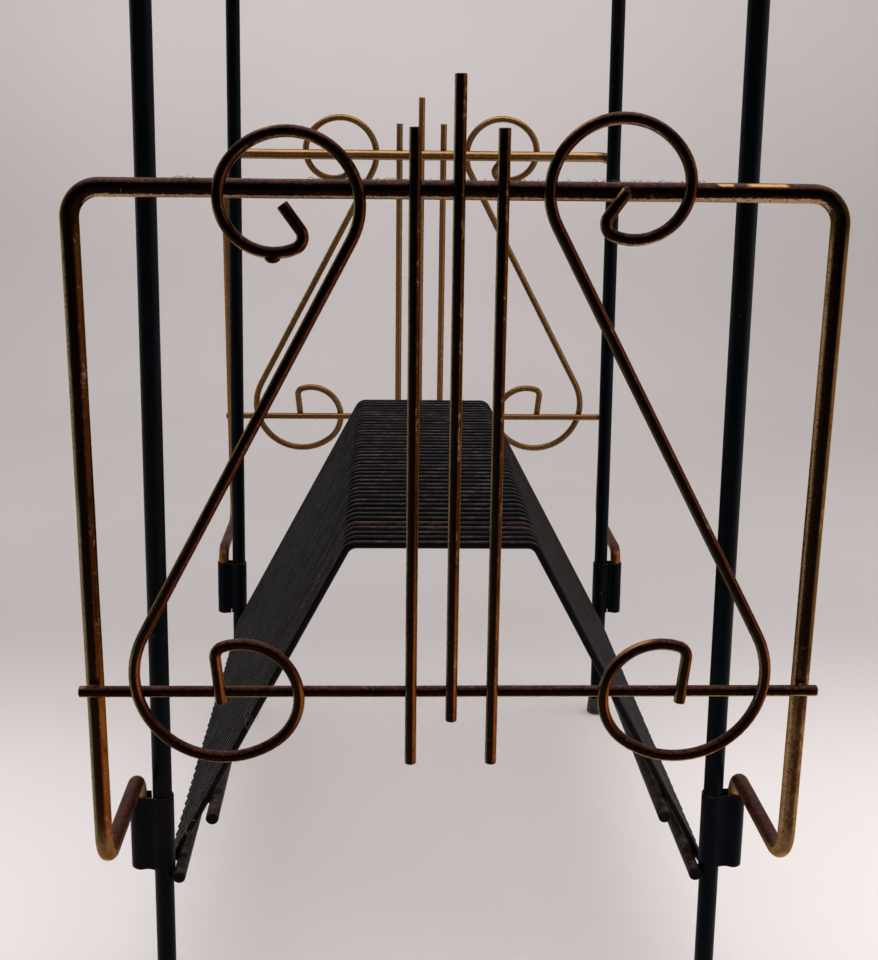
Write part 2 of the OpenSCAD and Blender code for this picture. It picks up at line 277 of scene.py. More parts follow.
def most(*values):
    """The greatest of some fields."""
    return functools.reduce(lambda first, second: maths("MAXIMUM", first, second), values)


def vectors(operation, first, second=None):
    """A sum on vectors. SCALE takes a number as its second value."""
    inputs = {0: first}
    if second is not None:
        inputs[3 if operation == "SCALE" else 1] = second
    output = "Value" if operation in ("LENGTH", "DOT_PRODUCT") else "Vector"
    return put(tree_of(first, second), "ShaderNodeVectorMath", inputs, output, operation=operation)


def parts(vector):
    """The X, Y and Z of a vector."""
    node = vector.tree.nodes.new("ShaderNodeSeparateXYZ")
    feed(node.inputs[0], vector)
    return [Field(output) for output in node.outputs]


def noise(vector, scale, detail=3.0, rough=0.55, distortion=0.0):
    return put(vector.tree, "ShaderNodeTexNoise", {
        "Vector": vector, "Scale": scale, "Detail": detail, "Roughness": rough,
        "Distortion": distortion,
    }, "Fac")


def ramp(value, low, high, start=0.0, end=1.0):
    """value between low and high, turned smoothly into start to end."""
    return put(value.tree, "ShaderNodeMapRange", {
        "Value": value, "From Min": low, "From Max": high, "To Min": start, "To Max": end,
    }, interpolation_type="SMOOTHSTEP")


def mixed(share, first, second):
    """A share of the second colour mixed into the first. A plain colour is three numbers."""
    fields = [value for value in (share, first, second) if isinstance(value, Field)]
    if not fields:
        return tuple(a + (b - a) * share for a, b in zip(first, second))
    first, second = (c if isinstance(c, Field) else (*c, 1.0) for c in (first, second))
    return put(fields[0].tree, "ShaderNodeMix", {0: share, 6: first, 7: second}, 2,
               data_type="RGBA")


def dimmed(colour_value, share):
    return tuple(c * share for c in colour_value)


def object_point(tree):
    return put(tree, "ShaderNodeTexCoord", output="Object")


def facing(tree):
    """Which way the surface faces on the stand itself."""
    return put(tree, "ShaderNodeTexCoord", output="Normal")


def bump(height, depth):
    return put(height.tree, "ShaderNodeBump", {
        "Height": height, "Strength": 1.0, "Distance": depth,
    })


def finish(name):
    """Turns a function that gives a shader's inputs into one that gives the material.

    The material is made once, and found again by its name.
    """
    def wrap(shader_inputs):
        @functools.wraps(shader_inputs)
        def material():
            if name not in bpy.data.materials:
                made = bpy.data.materials.new(name)
                made.use_nodes = True
                shader = made.node_tree.nodes["Principled BSDF"]
                for key, value in shader_inputs(made.node_tree).items():
                    feed(shader.inputs[key], value)
            return bpy.data.materials[name]
        return material
    return wrap


# ---------------------------------------------------------------- materials

@finish("enamel_on_steel")
def enamel_finish(tree):
    """Satin black enamel gone brown in places, with small rusty chips and settled dust."""
    look = settings().finishes
    place = object_point(tree)
    x, y, z = parts(place)
    upness = parts(facing(tree))[2]
    body = mixed(ramp(noise(place, 14.0, 4.0), 0.52, 0.70), look.enamel, look.enamel_brown)

    # browner on the hoops, with speckled rust on two of them
    rusty_y = -0.184
    on_hoops = ramp(abs(x), 0.166, 0.160) * ramp(z, 0.335, 0.325)
    body = mixed(on_hoops * 0.7, body, dimmed(look.enamel_brown, 1.7))
    rusty = ramp(abs(y - rusty_y), 0.012, 0.007) * on_hoops * ramp(upness, 0.1, 0.6)
    rusty = rusty * ramp(noise(place, 230.0, 4.0, 0.75), 0.44, 0.60)
    body = mixed(rusty * 0.6, body, mixed(0.4, look.rust, look.grime))
    chips = ramp(noise(place, 260.0, 2.0, 0.5), 0.70, 0.74)
    chips = chips * ramp(noise(place, 22.0, 2.0), 0.50, 0.62)
    body = mixed(chips, body, look.rust)

    # rusty dust on the ends of the low rails, and thin dust on every top
    at_end = ramp(abs(y), 0.16, 0.235) * ramp(z, 0.165, 0.150)
    grime = ramp(upness, 0.0, 0.5) * at_end * ramp(noise(place, 150.0, 5.0, 0.7), 0.40, 0.58)
    body = mixed(grime * 0.75, body, look.grime)
    settled = ramp(upness, 0.60, 0.99) * ramp(noise(place, 90.0, 5.0, 0.7), 0.46, 0.72) * 0.30
    gloss = ramp(noise(place, 55.0, 4.0), 0.3, 0.7, 0.30, 0.46)
    return {
        "Base Color": mixed(settled, body, look.dust),
        "Roughness": gloss + (chips + settled) * 0.5,
        "Specular IOR Level": 0.055,
        "Specular Tint": (0.60, 0.78, 1.0, 1.0),
        "Normal": bump(noise(place, 700.0, 2.0) - chips, 0.00006),
    }


class BrassSkin:
    """Old brass plating, each side of a rod coloured in its own way: by its age, and by painted
    light, shade, highlights and reflections.

    Each step lays its colour over what is there, and keeps the fields that a later step
    or the shader needs. The first two numbers of a ramp say where something begins and
    where it is there in full: metres on X, Y or Z, or how far a side faces that way.
    """

    def __init__(self, tree):
        self.look = settings().finishes
        self.place = object_point(tree)
        self.x, self.y, self.z = parts(self.place)
        self.normal = facing(tree)
        self.side_x, self.side_y, self.side_z = parts(self.normal)
        # a rod's own coordinates: round it in X and Y, and along it in Z
        self.along = put(tree, "ShaderNodeAttribute", output="Vector", attribute_name="rod")
        self.streaks = self.grained(0.8, 50.0, 1.0, 4.0, 0.6, 0.4)
        self.fine = self.grained(1.7, 260.0, 1.0, 5.0, 0.65)
        self.grain = self.grained(5.0, 420.0, 1.0, 3.0, 0.7)
        self.reach = abs(self.y)
        self.on_frame = ramp(self.reach, 0.3424, 0.3412)
        self.at_rear = ramp(self.y, 0.0, 0.1)
        self.outward = self.side_y * maths("SIGN", self.y)
        self.inward = ramp(self.outward, 0.0, -0.6)

    def grained(self, around, lengthwise, *how):
        """Noise that is drawn out along the rod and follows its bends."""
        return noise(vectors("MULTIPLY", self.along, (around, around, lengthwise)), *how)

    def lay(self, share, colour_value):
        self.body = mixed(share, self.body, colour_value)

    def sides(self):
        """Painted reflections on each rod's sides, amber on the right and olive to pale gold on the
        left, with the amber lighter low down as painted floor light; ochre into the stand.
        """
        look, x, on_frame = self.look, self.x, self.on_frame
        # painted reflection on the left side of each rod: olive at the stand's left, paler gold
        # towards its right
        rightward = ramp(x, -0.12, 0.17) * (on_frame * 0.75 + 0.25)
        pale = mixed(rightward, look.olive, dimmed(look.brass, 0.50))
        self.left = self.streaks * 0.5 - self.side_x
        higher = self.z + on_frame * 0.04
        # painted reflection on the right side of each rod in amber, lighter low down as painted
        # light from the floor
        amber = mixed(ramp(higher, 0.29, 0.37), look.amber, dimmed(look.amber, 0.22))
        amber = mixed(ramp(x, 0.09, 0.17) * on_frame, amber, dimmed(look.ochre, 0.35))
        leaning = ramp(abs(self.side_z), 0.06, 0.28) * (1.0 - on_frame)
        amber = mixed(leaning, amber, mixed(0.5, look.copper, dimmed(look.amber, 0.5)))
        self.body = mixed(ramp(self.left, 0.35, 0.75), amber, pale)
        self.lay(self.inward, look.ochre)

    def wear_and_floor_light(self):
        """Brass shows through in random rubbed patches, and at the foot of each side, further up on
        the right one, as painted light from the floor.
        """
        # painted light from the pale floor on the lower ends of the sides
        foot_z = ramp(self.x, -0.1, 0.1, 0.175, 0.255)
        low = ramp(self.z - foot_z, 0.05, -0.02)
        self.floor_lit_foot = ramp(self.reach, 0.318, 0.328) * low * self.on_frame
        rubbed_and_floor_lit = self.fine + noise(self.place, 38.0, 4.0, 0.6) * 0.6 + self.floor_lit_foot * 0.22
        self.lay(ramp(rubbed_and_floor_lit, 0.84, 1.08) * 0.45, self.look.brass)

    def bright_bars(self):
        """Two painted highlight strips on the front top bar's right end, and a painted highlight
        band along the inside of the rear one.
        """
        gold = mixed(0.3, self.look.brass, self.look.amber)
        small_middle, long_middle = 0.1325, 0.153
        # painted highlights: two gold strips on top of the front top bar's right end
        ragged = self.x + self.fine * 0.006
        small_patch = ramp(abs(ragged - small_middle), 0.005, 0.003)
        long_patch = ramp(abs(ragged - long_middle), 0.013, 0.008)
        self.highlight_strips = most(small_patch, long_patch) * ramp(self.z, 0.51, 0.52)
        self.highlight_strips = self.highlight_strips * ramp(self.side_z, 0.55, 0.74) * ramp(self.side_z, 0.975, 0.92)
        self.lay(self.highlight_strips, gold)
        # painted highlight: a gold band along the inner side of the rear top bar
        rear_bar = self.at_rear * self.on_frame * ramp(self.z, 0.50, 0.515) * self.inward
        band = ramp(self.side_z, 0.12, 0.38) * ramp(self.side_z, 0.90, 0.78)
        self.rear_bar_highlight = band * rear_bar * ramp(self.streaks, 0.25, 0.5, 0.65, 0.95)
        self.lay(self.rear_bar_highlight, gold)

    def tarnish(self):
        """Tarnish with painted shade over it: nearly black where the rod faces out of the stand and
        a little to the left, and painted shade on tops, bottoms, top corners and round the side
        facing into the stand.
        """
        x, side_x, side_z, inward = self.x, self.side_x, self.side_z, self.inward
        # shifts the tarnish and painted shade sideways, by where the rod stands across the stand
        lean = ramp(x, -0.16, -0.08, 0.20, 0.0) + ramp(x, 0.08, 0.17, -0.29, -0.22)
        turned = side_x * lean
        turned = turned + maths("MINIMUM", side_x, 0.0) * ramp(x, -0.16, -0.08, 0.10, 0.0)
        self.front = self.outward * 0.96 + turned + self.streaks * 0.16
        blackened = ramp(self.streaks + self.fine * 0.5, 0.80, 0.96)
        # painted shade under and at the edges of the side facing into the stand
        beneath = ramp(side_z, 0.25, -0.45) * inward
        edge = ramp(abs(side_x), 0.55, 0.95) * inward
        # painted shade on the two top corners
        corner = ramp(abs(x), 0.166, 0.176) * ramp(self.z, 0.50, 0.518)
        dark = most(
            ramp(self.front, 0.78, 0.98) * 0.97,
            blackened * ramp(self.front, -0.5, 0.3, 0.25, 0.75),
            ramp(abs(side_z), 0.12, 0.5, 0.0, 0.9) * (1.0 - inward),
            most(beneath, edge) * 0.6,
            corner * 0.85,
        )
        # less painted shade at the feet, under the painted floor light, and none on the painted
        # highlights
        dark = dark * (1.0 - self.floor_lit_foot * 0.35) * (1.0 - self.highlight_strips)
        self.lay(dark, self.look.tarnish)

    def underside(self):
        """Pale gold underneath, clean metal that also stands for a painted reflection of the pale
        floor, stronger to the right, with dark specks there and on the pale left side.
        """
        look = self.look
        self.ring = vectors("LENGTH", vectors("MULTIPLY", self.along, (1.0, 1.0, 0.0)))
        # painted reflection of the pale floor on the undersides, stronger towards the stand's right
        under = self.grain * 0.5 - self.side_z + ramp(self.x, 0.06, 0.15, 0.0, 0.16)
        under = under * ramp(self.ring, 0.2, 0.6)
        self.lay(ramp(under, 0.84, 1.0, 0.0, 0.85), mixed(0.25, look.brass, look.bare))
        pale_side = most(ramp(self.left, 0.3, 0.7), ramp(under, 0.8, 1.0))
        pale_side = pale_side * ramp(self.front, -0.4, 0.1)
        specks = ramp(self.grained(3.1, 900.0, 1.0, 4.0, 0.75), 0.53, 0.60)
        self.lay(specks * (pale_side * 0.6 + 0.15), look.tarnish)

    def patina(self):
        """Dark red all round the hooks and on top, and gold just above the sleeves."""
        look, place, z, reach, side_z = self.look, self.place, self.z, self.reach, self.side_z
        self.on_hook = ramp(z, 0.20, 0.19) * ramp(reach, 0.326, 0.314)
        low_hook = self.on_hook * ramp(noise(place, 60.0, 4.0), 0.34, 0.50)
        low_hook = low_hook * ramp(self.at_rear, 0.0, 1.0, 0.85, 0.98)
        topside = ramp(side_z, 0.34, 0.72) * ramp(noise(place, 50.0, 4.0, 0.65), 0.26, 0.38)
        topside = topside * (1.0 - self.highlight_strips) * ramp(self.front, -0.55, 0.05)
        self.red = most(low_hook, topside * 0.92)
        red = mixed(ramp(noise(place, 520.0, 4.0, 0.7), 0.40, 0.62), look.tarnish, look.copper)
        red = mixed(ramp(noise(place, 900.0, 2.0), 0.66, 0.76), red, look.rose)
        red = mixed(self.at_rear * 0.85, red, dimmed(look.copper, 0.5))
        self.lay(self.red, red)
        self.sheltered = ramp(z, 0.1685, 0.1655) * ramp(reach, 0.252, 0.244)
        gold = mixed(self.at_rear, look.brass, mixed(0.85, look.brass, look.amber))
        self.lay(self.sheltered * 0.9, gold)
        scuffed = ramp(z, 0.196, 0.180) * ramp(reach, 0.318, 0.330)
        self.lay(scuffed * ramp(self.grain, 0.35, 0.65, 0.15, 0.75), dimmed(look.brass, 0.36))

    def glints(self):
        """Painted highlights along the upper left of the loops."""
        z = self.z
        # painted highlight where the loops face up and to the left
        upper_left = (-0.45, 0.0, 0.89)
        lit = vectors("DOT_PRODUCT", self.normal, upper_left)
        glint = ramp(lit, 0.70, 0.85) * ramp(self.front, -0.1, 0.25)
        glint = glint * ramp(noise(self.place, 34.0, 2.0), 0.40, 0.52)
        glint = glint * ramp(self.side_x, -0.05, -0.25) * ramp(self.reach, 0.3405, 0.3415)
        low_half = ramp(z, 0.272, 0.262) * ramp(z, 0.18, 0.19)
        high_half = ramp(z, 0.525, 0.515) * ramp(z, 0.43, 0.44)
        self.glint = glint * (1.0 - most(low_half, high_half))
        self.lay(self.glint * 0.85, mixed(0.5, self.look.brass, self.look.amber))

    def grit(self):
        """Small black pits, bright scratches, dust, and bare metal on the strings' ends."""
        look = self.look
        self.pits = ramp(self.grained(1.2, 330.0, 2.6, 3.0, 0.6), 0.64, 0.70)
        self.lay(self.pits, (0.004, 0.003, 0.002))
        scratches = ramp(self.grained(0.35, 900.0, 1.3, 2.0), 0.74, 0.78)
        self.lay(scratches * ramp(self.fine, 0.45, 0.65) * 0.6, look.brass)
        dust = ramp(self.side_z, 0.72, 1.0) * ramp(noise(self.place, 190.0, 5.0, 0.75), 0.50, 0.68)
        self.dust = dust * (1.0 - most(self.on_hook, self.highlight_strips))
        self.lay(self.dust * 0.32, mixed(0.5, look.dust, look.rose))
        cut = ramp(self.ring, 0.985, 0.955) * ramp(self.z, 0.550, 0.556)
        self.lay(cut * 0.9, look.bare)


@finish("old_brass_plating")
def brass_finish(tree):
    """Old brass, nearly black in front from tarnish and painted shade, with painted reflections
    in amber to the right, olive to the left and pale gold underneath, painted highlights,
    and dark red and dusty on top."""
    skin = BrassSkin(tree)
    for step in (skin.sides, skin.wear_and_floor_light, skin.bright_bars, skin.tarnish, skin.underside,
                 skin.patina, skin.glints, skin.grit):
        step()
    metal = 1.0 - skin.pits * 0.8 - skin.dust * 0.7 - skin.red * 0.75 - skin.inward * 0.25
    return {
        "Base Color": skin.body,
        "Specular Tint": (0.86, 0.64, 0.43, 1.0),
        "Specular IOR Level": 0.2,
        "Metallic": most(metal, skin.glint, skin.rear_bar_highlight, skin.sheltered * skin.at_rear),
        "Roughness": ramp(skin.fine, 0.3, 0.75, 0.18, 0.34) + skin.red * 0.20 + skin.pits * 0.3,
        "Normal": bump(skin.grain * 0.7 - skin.pits, 0.00010),
    }


@finish("grey_lint")
def lint_finish(tree):
    """Grey-brown lint, paler in places."""
    look = settings().finishes
    tone = ramp(noise(object_point(tree), 300.0, 2.0), 0.35, 0.65)
    return {"Base Color": mixed(tone, look.grime, look.dust), "Roughness": 0.9}


@finish("black_rubber")
def rubber_finish(tree):
    """Matt black rubber, greyer where it has been scuffed."""
    look = settings().finishes
    place = object_point(tree)
    scuff = ramp(noise(place, 180.0, 4.0, 0.65), 0.50, 0.72) * 0.22
    return {
        "Base Color": mixed(scuff, look.rubber, look.dust),
        "Roughness": ramp(scuff, 0.0, 0.22, 0.62, 0.82),
        "Normal": bump(noise(place, 900.0, 2.0), 0.00008),
    }


@finish("stage_paper")
def paper_finish(tree):
    """Pale backdrop paper, with painted shade behind the stand and a painted glow in front of it
    and towards the top.
    """
    look = settings().stage
    place = object_point(tree)
    x, y, z = parts(place)
    # painted shade on the paper behind the stand
    behind = ramp(y, 0.05, 0.55) * ramp(y, 2.2, 0.9, 0.35, 1.0)
    shade = 1.0 - behind * look.behind - noise(place, 1.6, 2.0) * 0.10
    camera, glossy, clear = (put(tree, "ShaderNodeLightPath", output=f"Is {kind} Ray")
                             for kind in ("Camera", "Glossy", "Transmission"))
    seen = maths("MINIMUM", camera + glossy + clear, 1.0)
    # painted glow: the paper gives light of its own in front of the stand and towards the top
    near = ramp(y, 0.45, -0.2, 0.0, look.lift) * ramp(abs(x), 0.12, 0.40, 1.35, 1.8)
    return {
        "Base Color": vectors("SCALE", tuple(look.floor), shade),
        "Roughness": 0.95,
        "Specular IOR Level": 0.1,
        "Emission Strength": seen * (near + ramp(z, 0.15, 0.9, 0.0, look.lift)),
        "Emission Color": (*look.floor, 1.0),
    }


# ---------------------------------------------------------------- geometry helpers

def growth(name, *sockets):
    """Turns a function that lays nodes into one that gives a finished geometry tree.

    The tree takes a base mesh, the named inputs and a material, and ends in real faces
    that carry the material. It is made once, and found again by its name.
    """
    def wrap(lay):
        @functools.wraps(lay)
        def tree_of_that_name():
            if name in bpy.data.node_groups:
                return bpy.data.node_groups[name]
            tree = bpy.data.node_groups.new(name, "GeometryNodeTree")
            for label, kind in (("Geometry", "Geometry"), *sockets, ("Material", "Material")):
                tree.interface.new_socket(label, in_out="INPUT", socket_type="NodeSocket" + kind)
            tree.interface.new_socket("Geometry", in_out="OUTPUT",
                                      socket_type="NodeSocketGeometry")
            entries = tree.nodes.new("NodeGroupInput").outputs
            given = {entry.name: Field(entry) for entry in entries if entry.name}
            real = put(tree, "GeometryNodeRealizeInstances", {"Geometry": lay(tree, given)})
            last = put(tree, "GeometryNodeSetMaterial", {
                "Geometry": real, "Material": given["Material"],
            })
            feed(tree.nodes.new("NodeGroupOutput").inputs[0], last)
            return tree
        return tree_of_that_name
    return wrap


def combined(tree, *values):
    """A vector with these first parts. The others are 0."""
    return put(tree, "ShaderNodeCombineXYZ", dict(enumerate(values)))


def named(tree, name, data_type="FLOAT_VECTOR"):
    return put(tree, "GeometryNodeInputNamedAttribute", {"Name": name}, data_type=data_type)


def stored(geometry, name, value, data_type="FLOAT_VECTOR"):
    return put(geometry.tree, "GeometryNodeStoreNamedAttribute", {
        "Geometry": geometry, "Name": name, "Value": value,
    }, data_type=data_type, domain="POINT")


def shaken(geometry, amount, noise_inputs, **properties):
    """Geometry whose points are moved by noise, up to half of amount each way."""
    drift = put(geometry.tree, "ShaderNodeTexNoise", noise_inputs, "Color", **properties)
    offset = vectors("SCALE", vectors("SUBTRACT", drift, (0.5, 0.5, 0.5)), amount)
    return put(geometry.tree, "GeometryNodeSetPosition", {"Geometry": geometry, "Offset": offset})


def random_vector(low, high, seed):
    return put(tree_of(low, high, seed), "FunctionNodeRandomValue", {
        0: low, 1: high, "Seed": seed,
    }, data_type="FLOAT_VECTOR")


def link(name, mesh, creased=35.0):
    """A finished piece at the origin, smooth except along its sharp edges."""
    mesh.shade_smooth()
    mesh.set_sharp_from_angle(angle=math.radians(creased))
    piece = bpy.data.objects.new(name, mesh)
    mesh.name = name
    bpy.context.scene.collection.objects.link(piece)
    return piece


def grown(name, base_mesh, tree, values, creased=35.0):
    """The plain mesh that a node tree grows from base_mesh. values are its inputs by name."""
    base = bpy.data.objects.new(name + "_base", base_mesh)
    bpy.context.scene.collection.objects.link(base)
    modifier = base.modifiers.new(tree.name, "NODES")
    modifier.node_group = tree
    for item in tree.interface.items_tree:
        if item.item_type == "SOCKET" and item.in_out == "INPUT" and item.name in values:
            modifier[item.identifier] = values[item.name]
    graph = bpy.context.evaluated_depsgraph_get()
    mesh = bpy.data.meshes.new_from_object(
        base.evaluated_get(graph), preserve_all_data_layers=True, depsgraph=graph
    )
    bpy.data.objects.remove(base)
    if not mesh.polygons:
        raise RuntimeError(f"{name} came out with no faces")
    return link(name, mesh, creased)


@growth("Rod along a path", ("Radius", "Float"), ("Sides", "Int"), ("Waviness", "Float"),
        ("Wave length", "Float"), ("Grain start", "Float"))
def rod_tree(tree, given):
    """A round rod along each line of the base mesh, a little wavy, with flat cut ends."""
    where = put(tree, "GeometryNodeInputPosition")
    slow = vectors("DIVIDE", vectors("ADD", where, given["Grain start"]), given["Wave length"])
    path = put(tree, "GeometryNodeMeshToCurve", {"Mesh": given["Geometry"]})
    path = shaken(path, given["Waviness"], {"Vector": slow, "Scale": 1.0, "Detail": 1.0})
    spent = put(tree, "GeometryNodeSplineParameter", output="Length")
    path = stored(path, "run", spent + given["Grain start"], "FLOAT")
    ring = put(tree, "GeometryNodeCurvePrimitiveCircle", {
        "Resolution": given["Sides"], "Radius": given["Radius"],
    })
    ring = stored(ring, "round", vectors("DIVIDE", where, given["Radius"]))
    solid = put(tree, "GeometryNodeCurveToMesh", {
        "Curve": path, "Profile Curve": ring, "Scale": named(tree, "thick", "FLOAT"),
        "Fill Caps": True,
    })
    round_x, round_y, _ = parts(named(tree, "round"))
    return stored(solid, "rod", combined(tree, round_x, round_y, named(tree, "run", "FLOAT")))


def bent_path(start, heading, side, steps, spacing=0.008, turn=math.radians(6)):
    """Points along a bent rod. A step is (run, bend radius, bend angle, roll before the bend)."""
    points = [start.copy()]
    here, heading, side = start.copy(), heading.normalized(), side.normalized()
    for run, radius, bend, roll in steps:
        pieces = max(1, round(run / spacing))
        if run > 0:
            points += [here + heading * (run * k / pieces) for k in range(1, pieces + 1)]
        here = here + heading * run
        side = Quaternion(heading, roll) @ side
        if bend > 0:
            centre = here + side * radius
            pieces = max(2, math.ceil(bend / turn))
            for k in range(1, pieces + 1):
                a = bend * k / pieces
                points.append(centre - side * radius * math.cos(a) + heading * radius * math.sin(a))
            here = points[-1].copy()
            heading, side = (
                heading * math.cos(bend) + side * math.sin(bend),
                side * math.cos(bend) - heading * math.sin(bend),
            )
    return points


def with_cut_ends(points, radius, bevel):
    """Points and thickness factors, with a bevelled cut at both ends."""
    first = points[0] + (points[1] - points[0]).normalized() * bevel
    last = points[-1] + (points[-2] - points[-1]).normalized() * bevel
    small = (radius - bevel) / radius
    mid_first, mid_last = (points[0] + first) / 2, (points[-1] + last) / 2
    mid = (radius - bevel * 0.3) / radius
    path = [points[0], mid_first, first] + points[1:-1] + [last, mid_last, points[-1]]
    return path, [small, mid, 1.0] + [1.0] * (len(points) - 2) + [1.0, mid, small]


def path_mesh(name, paths):
    """A mesh of plain lines from (points, thickness factors) pairs."""
    verts, edges, thick = [], [], []
    for points, factors in paths:
        base = len(verts)
        verts += [tuple(p) for p in points]
        edges += [(base + k, base + k + 1) for k in range(len(points) - 1)]
        thick += factors
    mesh = bpy.data.meshes.new(name)
    mesh.from_pydata(verts, edges, [])
    mesh.attributes.new("thick", "FLOAT", "POINT").data.foreach_set("value", thick)
    return mesh


def rods(name, paths, radius, material, sides=24, wave=0.0002, wave_length=0.06, start=0.0):
    """One piece of rods along (points, thickness factors) pairs."""
    return grown(name, path_mesh(name, paths), rod_tree(), {
        "Radius": radius, "Sides": sides, "Waviness": wave, "Wave length": wave_length,
        "Grain start": start, "Material": material,
    })


def rod(name, points, diameter, material, bevel=CUT_BEVEL, **looks):
    radius = diameter / 2
    return rods(name, [with_cut_ends(points, radius, bevel)], radius, material, **looks)


def across(half, y, z):
    """The ends of a line across the stand."""
    return Vector((-half, y, z)), Vector((half, y, z))


def lengthways(x, half, z):
    """The ends of a line from the front of the stand to its rear."""
    return Vector((x, -half, z)), Vector((x, half, z))


def straight(start, end, spacing=0.01):
    pieces = max(2, round((end - start).length / spacing))
    return [start.lerp(end, k / pieces) for k in range(pieces + 1)]


def belongs(piece, body, slot, *nodes):
    """Rides on a body and stands for CAD nodes. The slot is not used."""
    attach(piece, body)
    if nodes:
        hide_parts(*nodes)


def on_rack(piece, *nodes):
    belongs(piece, "stand", "black_enamel", *nodes)


def on_panel(end, piece, *nodes):
    belongs(piece, f"{end}_lyre", "aged_brass", *nodes)


# ---------------------------------------------------------------- where things are

def upright_x(z):
    rack = settings().rack
    return rack.foot_spacing / 2 - z * math.tan(rack.splay)


def inner_rail_x(z):
    rack = settings().rack
    return upright_x(z) - rack.upright / 2 / math.cos(rack.splay) - rack.weld_gap - rack.rail / 2


def on_upright(x_side, y_side):
    """The matrix that stands a piece on an upright's leaning axis."""
    rack = settings().rack
    base = Vector((x_side * rack.foot_spacing / 2, y_side * rack.end_spacing / 2, 0))
    return Matrix.Translation(base) @ Matrix.Rotation(-x_side * rack.splay, 4, "Y")


def leg_lean():
    rack, hoops = settings().rack, settings().hoops
    seat = rack.rail / 2 + hoops.wire / 2 + rack.weld_gap
    dx = inner_rail_x(rack.lower_rail) - hoops.top_width / 2
    dz = hoops.top_height - rack.lower_rail
    return math.atan(dx / dz) + math.asin(seat / math.hypot(dx, dz)), seat


def leg_to(z):
    lean, seat = leg_lean()
    return (settings().hoops.top_height - z - seat * math.sin(lean)) / math.cos(lean)


def upper_rail_x():
    lean, seat = leg_lean()
    run = leg_to(settings().rack.upper_rail)
    return settings().hoops.top_width / 2 + run * math.sin(lean) - seat * math.cos(lean)


def shelf_heights():
    """Heights of the shelf's rails, end bars and wires."""
    rack = settings().rack
    rails = rack.height - rack.shelf_drop
    wires = rails + rack.rail / 2 + settings().hoops.wire / 2 + rack.weld_gap
    return rails, rails - rack.rail - rack.weld_gap, wires


def shelf_bar_y():
    rack = settings().rack
    return rack.end_spacing / 2 - rack.upright / 2 - rack.rail / 2 - rack.weld_gap


def wire_places():
    rack, inset = settings().rack, 0.016
    span = 2 * (shelf_bar_y() - inset)
    return [(k / (rack.shelf_wires - 1) - 0.5) * span for k in range(rack.shelf_wires)]


def panel_x():
    rack, lyre, sleeves = settings().rack, settings().lyre, settings().sleeves
    middle = sleeves.bottom + sleeves.height / 2
    return upright_x(middle) + rack.upright / 2 + lyre.rod_gap + lyre.rod / 2


def at_panel(y_side, point):
    """A point given from the middle of the front panel's top bar, put on either panel."""
    lyre = settings().lyre
    panel_y = settings().rack.end_spacing / 2 + lyre.setback
    placed = Vector(point) + Vector((0, -panel_y, lyre.top_bar))
    return Vector((-placed.x, -placed.y, placed.z)) if y_side > 0 else placed


def crossbar_y():
    lyre = settings().lyre
    return lyre.rod / 2 + lyre.thin_rod / 2 + settings().rack.weld_gap


def on_ornament(x, z):
    """A point of the plane that the strings and scrolls lie in, from the top bar's middle."""
    lyre = settings().lyre
    lean = math.atan((lyre.thin_rod + settings().rack.weld_gap) / lyre.crossbar_drop)
    return Vector((x, -crossbar_y() + z * math.sin(lean), z * math.cos(lean)))


# radius and angle in degrees of each bend of a scroll's loops, and the tail after them
UPPER_LOOP, UPPER_TAIL = ((0.0346, 176.8), (0.0266, 143.8), (0.006, 103.6)), 0.0147
LOWER_LOOP, LOWER_TAIL = ((0.0456, 155.3), (0.02975, 160.7), (0.006, 78.0)), 0.025


def loop_steps(run, loop, tail):
    """Steps for bent_path: the run that leads to a loop, the loop's bends and its tail."""
    bends = [(0, radius, math.radians(turn), 0) for radius, turn in loop]
    return [(run, *bends[0][1:])] + bends[1:] + [(tail, 0, 0, 0)]


def scroll_line(y_side, x_side):
    """A scroll's (x, z) points seen from outside, from its lower tail to its upper one."""
    lyre = settings().lyre
    lean = lyre.scroll_lean
    less = lyre.short_run if (y_side, x_side) == (-1, -1) else 0.0
    up = Vector((-math.sin(lean), 0, math.cos(lean)))
    side = Vector((math.cos(lean), 0, math.sin(lean)))
    start = Vector((lyre.scroll_top, 0, -lyre.scroll_drop)) - up * less
    upper = bent_path(start, up, side, loop_steps(0, UPPER_LOOP, UPPER_TAIL))
    lower = bent_path(start, -up, -side,
                      loop_steps(lyre.scroll_run - less, LOWER_LOOP, LOWER_TAIL))
    return [(x_side * p.x, p.z) for p in lower[:0:-1] + upper]


def crossings(line, z):
    """Where a line of (x, z) points passes height z."""
    found = []
    for (x0, z0), (x1, z1) in zip(line, line[1:]):
        if (z0 - z) * (z1 - z) < 0:
            found.append(x0 + (x1 - x0) * (z - z0) / (z1 - z0))
    return found


# ---------------------------------------------------------------- pieces

def rack_rod(node, ends, grain_start):
    """A straight rail or bar that stands for the CAD node of that name."""
    on_rack(rod(f"black_{node}", straight(*ends), settings().rack.rail, enamel_finish(),
                start=grain_start), node)


def panel_rod(end, name, node, points, diameter, **looks):
    """A brass rod of the panel at one end. Its points start from the top bar's middle."""
    placed = [at_panel(ENDS[end], point) for point in points]
    on_panel(end, rod(f"brass_{name}", placed, diameter, brass_finish(), **looks), node)


